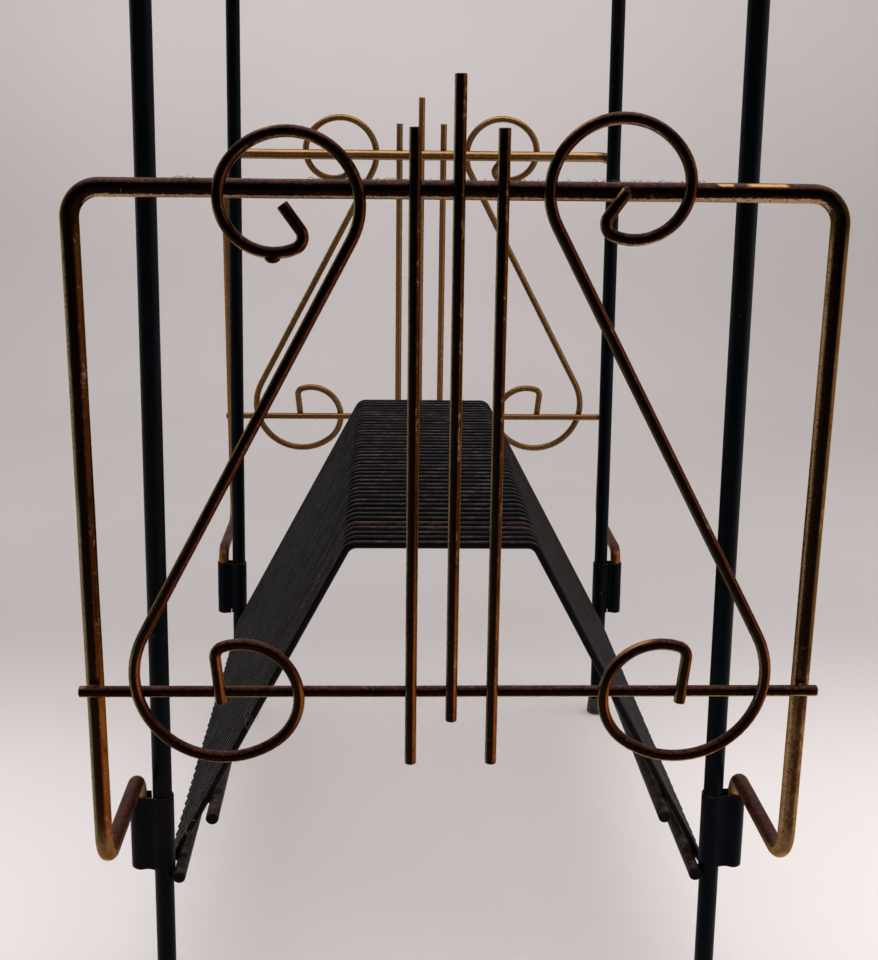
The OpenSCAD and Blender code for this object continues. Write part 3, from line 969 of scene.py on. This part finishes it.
class STAND_OT_uprights(bpy.types.Operator):
    """Make the four leaning uprights with their rounded tops"""
    bl_idname = "record_stand.uprights"
    bl_label = "Uprights"

    def execute(self, context):
        rack = settings().rack
        radius, crown, foot_sole = rack.upright / 2, rack.upright / 6, 0.0033
        for end, side, x_side, y_side in CORNERS:
            place = on_upright(x_side, y_side)
            low, high = foot_sole / math.cos(rack.splay), rack.height / math.cos(rack.splay)
            points = straight(place @ (UP * low), place @ (UP * (high - crown)))
            factors = [1.0] * len(points)
            for degrees in range(15, 91, 15):
                a = math.radians(degrees)
                points.append(place @ (UP * (high - crown + crown * math.sin(a))))
                factors.append((radius - crown + crown * math.cos(a)) / radius)
            piece = rods(f"black_upright_{end}_{side}", [(points, factors)], radius,
                         enamel_finish(), sides=40, wave=0.0004, wave_length=0.25,
                         start=1.0 + x_side + 3 * y_side)
            on_rack(piece, f"upright_{end}_{side}")
        return {"FINISHED"}


class STAND_OT_feet(bpy.types.Operator):
    """Turn the four rubber feet"""
    bl_idname = "record_stand.feet"
    bl_label = "Feet"

    def execute(self, context):
        rack = settings().rack
        clearance, sides = 0.00012, 48
        bore = rack.upright / 2 + clearance
        outline = [
            (0, 0), (0.0066, 0), (0.0078, 0.0002), (0.0086, 0.0006), (0.0090, 0.0014),
            (0.00888, 0.0030), (0.00862, 0.0034), (0.00862, 0.0040), (0.00882, 0.0044),
            (0.00856, 0.0080), (0.00830, 0.0114), (0.00806, 0.0138), (0.00790, 0.0149),
            (0.00755, 0.0156), (0.00710, 0.0159), (0.00665, 0.0160), (bore + 0.0002, 0.0158),
            (bore, 0.0155), (bore, 0.0031), (0, 0.0031),
        ]
        for end, side, x_side, y_side in CORNERS:
            centre = Vector((x_side * rack.foot_spacing / 2, y_side * rack.end_spacing / 2, 0))
            mesh = turned_mesh(outline, sides, centre)
            mesh.materials.append(rubber_finish())
            piece = link(f"rubber_foot_{end}_{side}", mesh, creased=40.0)
            belongs(piece, "stand", "foot_rubber", f"foot_{end}_{side}")
        return {"FINISHED"}


def turned_mesh(outline, sides, centre):
    """A closed solid of revolution about the Z axis through centre, from an (r, z) outline."""
    work = bmesh.new()
    rings = []
    for r, z in outline:
        angles = [2 * math.pi * k / sides for k in range(sides)] if r else [0.0]
        rings.append([work.verts.new(centre + Vector((r * math.cos(a), r * math.sin(a), z)))
                      for a in angles])
    for low, high in zip(rings, rings[1:]):
        for k in range(sides):
            corners = [low[k % len(low)], low[(k + 1) % len(low)],
                       high[(k + 1) % len(high)], high[k % len(high)]]
            work.faces.new(list(dict.fromkeys(corners)))
    return finished_mesh(work, "turned")


def finished_mesh(work, name):
    bmesh.ops.recalc_face_normals(work, faces=work.faces)
    mesh = bpy.data.meshes.new(name)
    work.to_mesh(mesh)
    work.free()
    return mesh


class STAND_OT_rails(bpy.types.Operator):
    """Make the lower and upper rails"""
    bl_idname = "record_stand.rails"
    bl_label = "Rails"

    def execute(self, context):
        rack = settings().rack
        end = rack.end_spacing / 2 + rack.overhang
        places = {"lower_rail": (inner_rail_x(rack.lower_rail), rack.lower_rail),
                  "upper_rail": (upper_rail_x(), rack.upper_rail)}
        for level, (x, z) in places.items():
            for side, x_side in SIDES.items():
                rack_rod(f"{level}_{side}", lengthways(x_side * x, end, z), x_side + 40 * z)
        return {"FINISHED"}


@growth("Row of hoops", ("Count", "Int"), ("Pitch", "Float"), ("Pivot", "Vector"),
        ("Stray angle", "Float"), ("Radius", "Float"), ("Sides", "Int"), ("Seed", "Int"))
def hoop_row_tree(tree, given):
    """Copies of one bent wire in a row, each a little out of line."""
    one = put(tree, "GeometryNodeGroup", {
        "Geometry": given["Geometry"], "Radius": given["Radius"], "Sides": given["Sides"],
        "Waviness": 0.0003, "Wave length": 0.05, "Grain start": 0.0,
        "Material": given["Material"],
    }, node_tree=rod_tree())
    one = put(tree, "GeometryNodeTransform", {
        "Geometry": one, "Translation": vectors("SCALE", given["Pivot"], -1.0),
    })
    first = combined(tree, 0.0, (given["Count"] - 1.0) * -0.5 * given["Pitch"])
    row = put(tree, "GeometryNodeMeshLine", {
        "Count": given["Count"], "Start Location": vectors("ADD", first, given["Pivot"]),
        "Offset": combined(tree, 0.0, given["Pitch"]),
    }, mode="OFFSET")
    back = given["Stray angle"] * -1.0
    turn = random_vector(combined(tree, back, back * 0.3),
                         combined(tree, given["Stray angle"], back * -0.3), given["Seed"])
    return put(tree, "GeometryNodeInstanceOnPoints", {
        "Points": row, "Instance": one,
        "Rotation": put(tree, "FunctionNodeEulerToRotation", {0: turn}),
    })


class STAND_OT_hoops(bpy.types.Operator):
    """Bend the row of wire hoops that keeps the records apart"""
    bl_idname = "record_stand.hoops"
    bl_label = "Hoops"

    def execute(self, context):
        rack, hoops = settings().rack, settings().hoops
        lean, _ = leg_lean()
        leg = leg_to(rack.lower_rail) + hoops.tail
        turn = math.pi / 2 - lean
        tangent = hoops.bend * math.tan(turn / 2)
        foot = Vector((-hoops.top_width / 2 - leg * math.sin(lean), 0,
                       hoops.top_height - leg * math.cos(lean)))
        steps = [
            (leg - tangent, hoops.bend, turn, 0),
            (hoops.top_width - 2 * tangent, hoops.bend, turn, 0),
            (leg - tangent, 0, 0, 0),
        ]
        points = bent_path(foot, Vector((math.sin(lean), 0, math.cos(lean))),
                           Vector((math.cos(lean), 0, -math.sin(lean))), steps,
                           spacing=0.014, turn=math.radians(10))
        base = path_mesh("hoop", [with_cut_ends(points, hoops.wire / 2, CUT_BEVEL)])
        rise = hoops.top_height - rack.upper_rail
        piece = grown("black_hoops", base, hoop_row_tree(), {
            "Count": hoops.count, "Pitch": hoops.pitch, "Pivot": (0.0, 0.0, rack.upper_rail),
            "Stray angle": hoops.stray / rise, "Radius": hoops.wire / 2, "Sides": 14, "Seed": 7,
            "Material": enamel_finish(),
        })
        nodes = [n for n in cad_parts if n.startswith("hoops_")]
        on_rack(piece, *sorted(nodes))
        return {"FINISHED"}


class STAND_OT_shelf(bpy.types.Operator):
    """Make the shelf on top: two rails, two end bars and its wires"""
    bl_idname = "record_stand.shelf"
    bl_label = "Shelf"

    def execute(self, context):
        rack, wire = settings().rack, settings().hoops.wire
        rail_z, bar_z, wire_z = shelf_heights()
        rail_x, bar_x, bar_y = inner_rail_x(rail_z), upright_x(bar_z), shelf_bar_y()
        reach = rack.end_spacing / 2 + rack.overhang
        for side, x_side in SIDES.items():
            rack_rod(f"shelf_rail_{side}", lengthways(x_side * rail_x, reach, rail_z), 5.0 + x_side)
        for end, y_side in ENDS.items():
            rack_rod(f"shelf_bar_{end}", across(bar_x, y_side * bar_y, bar_z), 9.0 + y_side)
        half = rail_x + rack.rail / 2
        paths = [with_cut_ends(straight(*across(half, y, wire_z)), wire / 2, CUT_BEVEL)
                 for y in wire_places()]
        on_rack(rods("black_shelf_wires", paths, wire / 2, enamel_finish(), sides=16,
                     wave=0.0003, wave_length=0.08), "shelf_wires")
        return {"FINISHED"}


def sleeve_path():
    """The middle line of the wrapped sheet seen from above: (x, y, outward x, outward y)."""
    rack, lyre, size = settings().rack, settings().lyre, settings().sleeves
    half, step = size.sheet / 2, 0.00055
    far = rack.upright / 2 + lyre.rod_gap + lyre.rod / 2
    big = rack.upright / 2 + size.crimp_gap + half
    small = lyre.rod / 2 + size.socket_gap + half
    neck = size.neck + half
    a, b = big + neck, small + neck
    neck_x = (a * a - b * b + far * far) / (2 * far)
    neck_y = math.sqrt(a * a - neck_x * neck_x)
    big_turn, small_turn = math.atan2(neck_y, neck_x), math.atan2(neck_y, neck_x - far)
    seam = math.asin(((far / 2 - neck_x) + size.seam / 2) / neck)
    seam_back = math.asin(((far / 2 - neck_x) - size.seam / 2) / neck)
    down = -math.pi / 2
    arcs = [
        (neck_x, neck_y, neck, down + seam, small_turn - math.pi, -1),
        (far, 0, small, small_turn, -small_turn, 1),
        (neck_x, -neck_y, neck, math.pi - small_turn, math.pi - big_turn, -1),
        (0, 0, big, -big_turn, big_turn - 2 * math.pi, 1),
        (neck_x, neck_y, neck, big_turn - math.pi, down + seam_back, -1),
    ]
    line = []
    for number, (cx, cy, radius, begin, stop, out) in enumerate(arcs):
        pieces = max(3, math.ceil(abs(stop - begin) * radius / step))
        for k in range(1 if number else 0, pieces + 1):
            a = begin + (stop - begin) * k / pieces
            line.append((cx + radius * math.cos(a), cy + radius * math.sin(a),
                         out * math.cos(a), out * math.sin(a)))
    return line


def punch_height():
    size = settings().sleeves
    return size.bottom + size.height - size.mark_drop


def sleeve_levels(rim):
    """Heights of the sheet's rows of points, closer together at the punch mark."""
    size = settings().sleeves
    top, mark_z, rows, mark_reach = size.bottom + size.height, punch_height(), 34, 0.0026
    levels = [size.bottom + 0.0009 + size.height * k / rows for k in range(rows)]
    levels = [z for z in levels if abs(z - mark_z) > mark_reach and z < top - 0.0006]
    return sorted(levels + [mark_z + 0.00045 * k for k in range(-5, 6)] + [top - rim])


def punched(x, y, z):
    """How deep the sheet is pressed in by the punch, with a slight ridge round the mark."""
    rack, size = settings().rack, settings().sleeves
    face_y = -(rack.upright / 2 + size.crimp_gap + size.sheet / 2)
    away = math.hypot(x, z - punch_height()) / (size.mark / 2)
    if y >= 0 or away >= 1.25 or math.hypot(x, y - face_y) >= 0.006:
        return 0.0
    dish = size.mark_depth * (1 - min(away, 1.0) ** 2) ** 1.5
    return dish - 0.00009 * max(0.0, 1 - abs(away - 1.08) / 0.17)


def sleeve_mesh(x_side, y_side):
    """A sheet wrapped in two lobes, with rounded rims, an uneven lower edge and a punch mark."""
    size, line = settings().sleeves, sleeve_path()
    half, rim, top = size.sheet / 2, size.sheet * RIM_SHARE, size.bottom + size.height
    shoulder = SHOULDER_SHARE * rim
    levels = sleeve_levels(rim)
    work = bmesh.new()
    columns = []
    for number, (x, y, nx, ny) in enumerate(line):
        def point(out, height):
            return Vector((x + nx * out, y + ny * out, height))

        share = number / (len(line) - 1)
        wave = 0.00035 * (1 + math.sin(11 * share + 2 * x_side)) + 0.00012 * math.sin(47 * share)
        wave = max(wave, 0.0)
        swell = 0.00012 * math.sin(9 * share + y_side)
        outer, inner = [], []
        for z in levels:
            height = size.bottom + rim + wave if z == levels[0] else z
            shift = swell * math.sin(math.pi * (z - size.bottom) / size.height) - punched(x, y, z)
            outer.append(point(half + shift, height))
            inner.append(point(shift - half, height))
        caps = []
        for height, inset in ((size.bottom + wave, -shoulder), (top, shoulder)):
            caps.append([
                point(half - shoulder, height - inset), point(half - rim, height),
                point(rim - half, height), point(shoulder - half, height - inset),
            ])
        columns.append([work.verts.new(p)
                        for p in outer + caps[1] + inner[::-1] + caps[0][::-1]])
    count = len(columns[0])
    for left, right in zip(columns, columns[1:]):
        for k in range(count):
            n = (k + 1) % count
            work.faces.new((left[k], right[k], right[n], left[n]))
    work.faces.new(columns[0])
    work.faces.new(columns[-1][::-1])
    bmesh.ops.triangulate(work, faces=[f for f in work.faces if len(f.verts) > 4])
    flip = Matrix.Diagonal((x_side, -y_side, 1, 1))
    bmesh.ops.transform(work, matrix=on_upright(x_side, y_side) @ flip, verts=work.verts)
    return finished_mesh(work, "sleeve")


class STAND_OT_sleeves(bpy.types.Operator):
    """Wrap the four sheet sleeves"""
    bl_idname = "record_stand.sleeves"
    bl_label = "Sleeves"

    def execute(self, context):
        for end, side, x_side, y_side in CORNERS:
            mesh = sleeve_mesh(x_side, y_side)
            mesh.materials.append(enamel_finish())
            piece = link(f"black_sleeve_{end}_{side}", mesh, creased=50.0)
            on_rack(piece, f"sleeve_{end}_{side}")
        return {"FINISHED"}


class STAND_OT_lyre_frames(bpy.types.Operator):
    """Bend the heavy rod of each lyre panel"""
    bl_idname = "record_stand.lyre_frames"
    bl_label = "Lyre frames"

    def execute(self, context):
        lyre, sleeves = settings().lyre, settings().sleeves
        quarter, prong_depth, seat_gap = math.pi / 2, 0.044, 0.0005
        prong_foot = sleeves.bottom + sleeves.height - prong_depth - lyre.top_bar
        hook_z = sleeves.bottom + sleeves.height + seat_gap + lyre.hook_bend
        hook_run = lyre.setback - lyre.hook_bend - lyre.foot_bend
        side_run = lyre.top_bar - lyre.corner - hook_z - lyre.foot_bend
        x = panel_x()
        points = bent_path(Vector((-x, lyre.setback, prong_foot)), UP, Vector((1, 0, 0)), [
            (lyre.prong, lyre.hook_bend, quarter, -quarter),
            (hook_run, lyre.foot_bend, quarter, math.pi),
            (side_run, lyre.corner, quarter, -quarter),
            (2 * (x - lyre.corner), lyre.corner, quarter, 0),
            (side_run, lyre.foot_bend, quarter, quarter),
            (hook_run, lyre.hook_bend, quarter, math.pi),
            (lyre.prong, 0, 0, 0),
        ], spacing=0.006, turn=math.radians(5))
        for end, y_side in ENDS.items():
            panel_rod(end, f"frame_{end}", f"{end}_lyre_frame", points, lyre.rod, sides=40,
                      wave=0.00035, start=20.0 + 7 * y_side)
        return {"FINISHED"}


class STAND_OT_crossbars(bpy.types.Operator):
    """Cut the crossbar of each lyre panel"""
    bl_idname = "record_stand.crossbars"
    bl_label = "Crossbars"

    def execute(self, context):
        lyre = settings().lyre
        reach = panel_x() + lyre.rod / 2 + lyre.crossbar_overhang
        points = straight(*across(reach, -crossbar_y(), -lyre.crossbar_drop), THIN_SPACING)
        for end, y_side in ENDS.items():
            panel_rod(end, f"crossbar_{end}", f"{end}_crossbar", points, lyre.thin_rod,
                      sides=THIN_SIDES, wave=0.0003, start=40 + y_side)
        return {"FINISHED"}


class STAND_OT_strings(bpy.types.Operator):
    """Cut the three strings of each lyre panel"""
    bl_idname = "record_stand.strings"
    bl_label = "Strings"

    def execute(self, context):
        lyre = settings().lyre
        for end, y_side in ENDS.items():
            for side, x_side in {"left": -1, "middle": 0, "right": 1}.items():
                rise, drop = ((lyre.outer_rise, lyre.outer_drop) if x_side
                              else (lyre.middle_rise, lyre.middle_drop))
                x = -y_side * x_side * lyre.string_pitch
                points = straight(on_ornament(x, -drop), on_ornament(x, rise), THIN_SPACING)
                panel_rod(end, f"string_{end}_{side}", f"{end}_string_{side}", points,
                          lyre.thin_rod, sides=THIN_SIDES, bevel=0.0004,
                          start=60 + 5 * x_side + 2 * y_side)
        return {"FINISHED"}


class STAND_OT_scrolls(bpy.types.Operator):
    """Bend the two scrolls of each lyre panel"""
    bl_idname = "record_stand.scrolls"
    bl_label = "Scrolls"

    def execute(self, context):
        for end, side, x_side, y_side in CORNERS:
            points = [on_ornament(x, z) for x, z in scroll_line(y_side, -y_side * x_side)]
            panel_rod(end, f"scroll_{end}_{side}", f"{end}_scroll_{side}", points,
                      settings().lyre.thin_rod, sides=THIN_SIDES, wave=0.0003,
                      start=80 + 5 * x_side + 2 * y_side)
        return {"FINISHED"}


@growth("Weld beads", ("Lumpiness", "Float"), ("Seed", "Int"))
def bead_tree(tree, given):
    """A small lumpy bead at each point of the base mesh, spread flat across its axis."""
    turn = put(tree, "FunctionNodeAlignRotationToVector", {"Vector": named(tree, "axis")}, axis="Z")
    beads = put(tree, "GeometryNodeInstanceOnPoints", {
        "Points": put(tree, "GeometryNodeMeshToPoints", {"Mesh": given["Geometry"]}),
        "Instance": put(tree, "GeometryNodeMeshIcoSphere", {"Radius": 1.0, "Subdivisions": 2}),
        "Rotation": turn, "Scale": named(tree, "spread"),
    })
    real = put(tree, "GeometryNodeRealizeInstances", {"Geometry": beads})
    return shaken(real, given["Lumpiness"], {
        "Vector": put(tree, "GeometryNodeInputPosition"), "W": given["Seed"] * 1.0,
        "Scale": 420.0, "Detail": 1.0,
    }, noise_dimensions="4D")


def bead_mesh(beads):
    """Points for the bead tree from (place, axis, (width, width, thickness)) triples."""
    mesh = bpy.data.meshes.new("beads")
    mesh.from_pydata([tuple(place) for place, _, _ in beads], [], [])
    for name, column in (("axis", 1), ("spread", 2)):
        layer = mesh.attributes.new(name, "FLOAT_VECTOR", "POINT")
        layer.data.foreach_set("vector", [v for bead in beads for v in bead[column]])
    return mesh


def stand_beads():
    rack, hoops = settings().rack, settings().hoops
    gap, rail = rack.weld_gap / 2, rack.rail / 2
    rail_z, bar_z, _ = shelf_heights()
    end_y, bar_y = rack.end_spacing / 2, shelf_bar_y()
    lean, _ = leg_lean()
    beads = []
    for x_side in SIDES.values():
        out = Vector((x_side, 0, 0))
        for y_side in ENDS.values():
            for z in (rack.lower_rail, rail_z):
                place = Vector((x_side * (inner_rail_x(z) + rail + gap), y_side * end_y, z))
                beads.append((place, out, RAIL_BEAD))
            place = Vector((x_side * (upright_x(bar_z) - 0.002),
                            y_side * (bar_y + rail + gap), bar_z))
            beads.append((place, ALONG, BAR_BEAD))
            place = Vector((x_side * inner_rail_x(rail_z), y_side * bar_y, rail_z - rail - gap))
            beads.append((place, UP, BENEATH_BEAD))
        for y in wire_places():
            place = Vector((x_side * inner_rail_x(rail_z), y, rail_z + rail + gap))
            beads.append((place, UP, WIRE_BEAD))
        normal = Vector((x_side * math.cos(lean), 0, math.sin(lean)))
        for x, z in ((inner_rail_x(rack.lower_rail), rack.lower_rail),
                     (upper_rail_x(), rack.upper_rail)):
            for k in range(hoops.count):
                y = (k - (hoops.count - 1) / 2) * hoops.pitch
                place = Vector((x_side * x, y, z)) + normal * (rail + gap)
                beads.append((place, normal, LEG_BEAD))
    return beads


def lyre_beads(y_side):
    """Beads where a panel's rods touch, and a burr under the front left scroll's upper loop."""
    lyre = settings().lyre
    on_bar, on_crossbar = 0.0028, 0.0022
    contact = lyre.rod / 2 + settings().rack.weld_gap / 2
    low = crossbar_y() + lyre.thin_rod / 2 + settings().rack.weld_gap / 2
    spots = [(sign * panel_x(), -contact, -lyre.crossbar_drop, 0.0030) for sign in (-1, 1)]
    for x in (-lyre.string_pitch, 0, lyre.string_pitch):
        spots += [(x, -contact, 0, on_bar), (x, -low, -lyre.crossbar_drop, on_crossbar)]
    burrs = []
    for sign in (-1, 1):
        line = scroll_line(y_side, sign)
        if (y_side, sign) == (-1, -1):
            x, z = min(line[len(line) * 2 // 3:], key=lambda point: point[1])
            place = (on_ornament(x, z - lyre.thin_rod * 0.33)
                     - Vector((0, lyre.thin_rod * 0.12, 0)))
            burrs = [(at_panel(y_side, place), UP, BURR)]
        spots += [(x, -contact, 0, on_bar) for x in crossings(line, 0)]
        spots += [(x, -low, -lyre.crossbar_drop, on_crossbar)
                  for x in crossings(line, -lyre.crossbar_drop)]
    return burrs + [(at_panel(y_side, (x, y, z)), ALONG, (wide, wide, wide * 0.5))
                    for x, y, z, wide in spots]


class STAND_OT_welds(bpy.types.Operator):
    """Lay a small bead where rods are welded together"""
    bl_idname = "record_stand.welds"
    bl_label = "Welds"

    def execute(self, context):
        values = {"Lumpiness": 0.0009, "Seed": 3, "Material": enamel_finish()}
        piece = grown("black_weld_beads", bead_mesh(stand_beads()), bead_tree(), values,
                      creased=180.0)
        on_rack(piece)
        for end, y_side in ENDS.items():
            values = {"Lumpiness": 0.0007, "Seed": 5 + y_side, "Material": brass_finish()}
            piece = grown(f"brass_weld_beads_{end}", bead_mesh(lyre_beads(y_side)), bead_tree(),
                          values, creased=180.0)
            on_panel(end, piece)
        return {"FINISHED"}


@growth("Lint", ("Spacing", "Float"), ("Curl", "Float"), ("Fibre", "Float"),
        ("Stray", "Float"), ("Seed", "Int"))
def lint_tree(tree, given):
    """Short curled fibres strewn along the lines of the base mesh."""
    curl = put(tree, "GeometryNodeCurveArc", {
        "Resolution": 8, "Radius": given["Curl"], "Sweep Angle": math.radians(170),
    })
    ring = put(tree, "GeometryNodeCurvePrimitiveCircle", {
        "Resolution": 3, "Radius": given["Fibre"],
    })
    hair = put(tree, "GeometryNodeCurveToMesh", {
        "Curve": curl, "Profile Curve": ring, "Fill Caps": True,
    })
    line = put(tree, "GeometryNodeMeshToCurve", {"Mesh": given["Geometry"]})
    spots = put(tree, "GeometryNodeCurveToPoints", {"Curve": line, "Length": given["Spacing"]},
                mode="LENGTH")
    back = given["Stray"] * -1.0
    offset = random_vector(combined(tree, back, back),
                           combined(tree, given["Stray"], given["Stray"]), given["Seed"])
    spots = put(tree, "GeometryNodeSetPosition", {"Geometry": spots, "Offset": offset})
    turn = random_vector((0.0,) * 3, (math.tau,) * 3, given["Seed"] + 1.0)
    size = put(tree, "FunctionNodeRandomValue", {
        2: 0.35, 3: 1.3, "Seed": given["Seed"] + 2.0,
    }, 1, data_type="FLOAT")
    return put(tree, "GeometryNodeInstanceOnPoints", {
        "Points": spots, "Instance": hair, "Scale": size,
        "Rotation": put(tree, "FunctionNodeEulerToRotation", {0: turn}),
    })


def strewn(name, lines, values):
    """A piece of lint along some lines of points."""
    mesh = path_mesh(name + "_lines", [(line, [1.0] * len(line)) for line in lines])
    return grown(name, mesh, lint_tree(), {**values, "Material": lint_finish()})


class STAND_OT_lint(bpy.types.Operator):
    """Strew lint on the front top bar and where the hoops end by the front left sleeve"""
    bl_idname = "record_stand.lint"
    bl_label = "Lint"

    def execute(self, context):
        lyre, hoops = settings().lyre, settings().hoops
        sunk, before_first = 0.0004, 0.002
        top = lyre.rod / 2 - sunk
        spans = [(-0.138, -0.127), (-0.072, -0.012), (-0.006, 0.052), (0.060, 0.118)]
        lines = [straight(at_panel(-1, (a, 0, top)), at_panel(-1, (b, 0, top))) for a, b in spans]
        piece = strewn("brass_lint_front", lines, {
            "Spacing": 0.0006, "Curl": 0.0012, "Fibre": 0.00012, "Stray": 0.0022, "Seed": 11,
        })
        on_panel("front", piece)
        lean, _ = leg_lean()
        y = -(hoops.count - 1) / 2 * hoops.pitch - before_first
        wisps = []
        for z, rise in ((0.197, 0.010), (0.118, 0.012)):
            x = -(hoops.top_width / 2 + leg_to(z) * math.sin(lean))
            wisps.append(straight(Vector((x, y, z)), Vector((x, y, z + rise))))
        piece = strewn("black_lint_hoops", wisps, {
            "Spacing": 0.0011, "Curl": 0.0036, "Fibre": 0.00010, "Stray": 0.0012, "Seed": 23,
        })
        on_rack(piece)
        return {"FINISHED"}


# ---------------------------------------------------------------- stage

# The camera that the photo was fitted with. Lengths in pixels are of the photo.
PHOTO_WIDTH, PHOTO_HEIGHT = 878, 960
CAMERA_FOCAL, CAMERA_CENTRE = 1361.08, (423.9, 487.8)
CAMERA_PLACE = (-0.03597, -1.00929, 0.56428)
CAMERA_PITCH, CAMERA_YAW, CAMERA_ROLL = 0.26341, 0.03093, -0.01125
SENSOR = 36.0


def lamp(name, place, aim, size, power, tint):
    data = bpy.data.lights.new(name, "AREA")
    data.shape = "RECTANGLE"
    data.size, data.size_y = size
    data.energy, data.color = power, tint
    lamp_object = bpy.data.objects.new(name, data)
    turn = (Vector(aim) - Vector(place)).to_track_quat("-Z", "Y")
    lamp_object.matrix_world = Matrix.Translation(place) @ turn.to_matrix().to_4x4()
    lamp_object.visible_camera = False
    bpy.context.scene.collection.objects.link(lamp_object)


def sheet_mesh(sweep_y, bend, reach):
    """The floor, which bends up into a backdrop at sweep_y."""
    profile = [(-reach, 0.0), (sweep_y - bend, 0.0)]
    profile += [(sweep_y - bend + bend * math.sin(a), bend - bend * math.cos(a))
                for a in (math.radians(6 * k) for k in range(1, 16))]
    profile.append((sweep_y, reach))
    verts = [(x, y, z) for y, z in profile for x in (-reach, reach)]
    faces = [(2 * k, 2 * k + 1, 2 * k + 3, 2 * k + 2) for k in range(len(profile) - 1)]
    mesh = bpy.data.meshes.new("floor")
    mesh.from_pydata(verts, [], faces)
    return mesh


def photo_camera():
    data = bpy.data.cameras.new("camera")
    data.sensor_width = SENSOR
    data.lens = CAMERA_FOCAL / PHOTO_HEIGHT * SENSOR
    data.shift_x = (PHOTO_WIDTH / 2 - CAMERA_CENTRE[0]) / PHOTO_HEIGHT
    data.shift_y = (CAMERA_CENTRE[1] - PHOTO_HEIGHT / 2) / PHOTO_HEIGHT
    data.clip_start = 0.01
    pitch, yaw, roll = CAMERA_PITCH, CAMERA_YAW, CAMERA_ROLL
    ahead = Vector((math.sin(yaw) * math.cos(pitch), math.cos(yaw) * math.cos(pitch),
                    -math.sin(pitch)))
    right = Vector((math.cos(yaw), -math.sin(yaw), 0))
    down = ahead.cross(right)
    right, down = (right * math.cos(roll) + down * math.sin(roll),
                   down * math.cos(roll) - right * math.sin(roll))
    camera = bpy.data.objects.new("camera", data)
    turn = Matrix((right, -down, -ahead)).transposed()
    camera.matrix_world = Matrix.Translation(CAMERA_PLACE) @ turn.to_4x4()
    return camera


class STAND_OT_stage(bpy.types.Operator):
    """Set the pale floor and backdrop, the lamps and the camera"""
    bl_idname = "record_stand.stage"
    bl_label = "Stage"

    def execute(self, context):
        look = settings().stage
        scene = bpy.context.scene
        scene.view_settings.view_transform = "Standard"
        mesh = sheet_mesh(sweep_y=2.6, bend=1.0, reach=5.0)
        mesh.materials.append(paper_finish())
        link("floor", mesh, creased=60.0)

        world = bpy.data.worlds.new("room")
        scene.world = world
        world.use_nodes = True
        tree = world.node_tree
        tree.nodes.clear()
        out = tree.nodes.new("ShaderNodeOutputWorld")
        feed(out.inputs["Surface"], put(tree, "ShaderNodeBackground", {
            "Color": (1, 1, 1, 1), "Strength": look.world,
        }))

        lamp("top", (0.15, 0.45, 2.4), (0, 0.15, 0.2), (3.4, 3.0), look.top, (1.0, 0.985, 0.97))
        lamp("left", (-1.7, 0.6, 0.7), (0, 0.1, 0.3), (1.6, 1.4), look.left, (1.0, 0.99, 0.97))
        lamp("right", (1.5, -0.25, 0.65), (0, -0.1, 0.3), (2.0, 1.3), look.right, (1.0, 0.98, 0.96))

        camera = photo_camera()
        scene.collection.objects.link(camera)
        scene.camera = camera
        return {"FINISHED"}


# ---------------------------------------------------------------- panel

class STAND_PT_panel(bpy.types.Panel):
    """Lists the sizes, the colours and the pieces of the record stand"""
    bl_idname = "STAND_PT_panel"
    bl_label = "Record stand"
    bl_space_type = "VIEW_3D"
    bl_region_type = "UI"
    bl_category = "Record stand"

    def draw(self, context):
        stand = context.scene.record_stand
        for group in ("rack", "hoops", "lyre", "sleeves", "finishes", "stage"):
            box = self.layout.box()
            box.label(text=group.capitalize())
            values = getattr(stand, group)
            for name in values.__annotations__:
                box.prop(values, name)
        for operator in OPERATORS:
            self.layout.operator(operator.bl_idname)


GROUPS = (RackSizes, HoopSizes, LyreSizes, SleeveSizes, Finishes, StageLook, StandSettings)
OPERATORS = (
    STAND_OT_uprights, STAND_OT_feet, STAND_OT_rails, STAND_OT_hoops, STAND_OT_shelf,
    STAND_OT_sleeves, STAND_OT_lyre_frames, STAND_OT_crossbars, STAND_OT_strings,
    STAND_OT_scrolls, STAND_OT_welds, STAND_OT_lint, STAND_OT_stage,
)


def register():
    for kind in GROUPS + OPERATORS + (STAND_PT_panel,):
        bpy.utils.register_class(kind)
    bpy.types.Scene.record_stand = bpy.props.PointerProperty(
        type=StandSettings, name="Record stand", description="Sizes and colours of the stand"
    )


def unregister():
    del bpy.types.Scene.record_stand
    for kind in reversed(GROUPS + OPERATORS + (STAND_PT_panel,)):
        bpy.utils.unregister_class(kind)


def main():
    register()
    for operator in OPERATORS:
        group, name = operator.bl_idname.split(".")
        getattr(getattr(bpy.ops, group), name)()


if __name__ == "__main__":
    main()
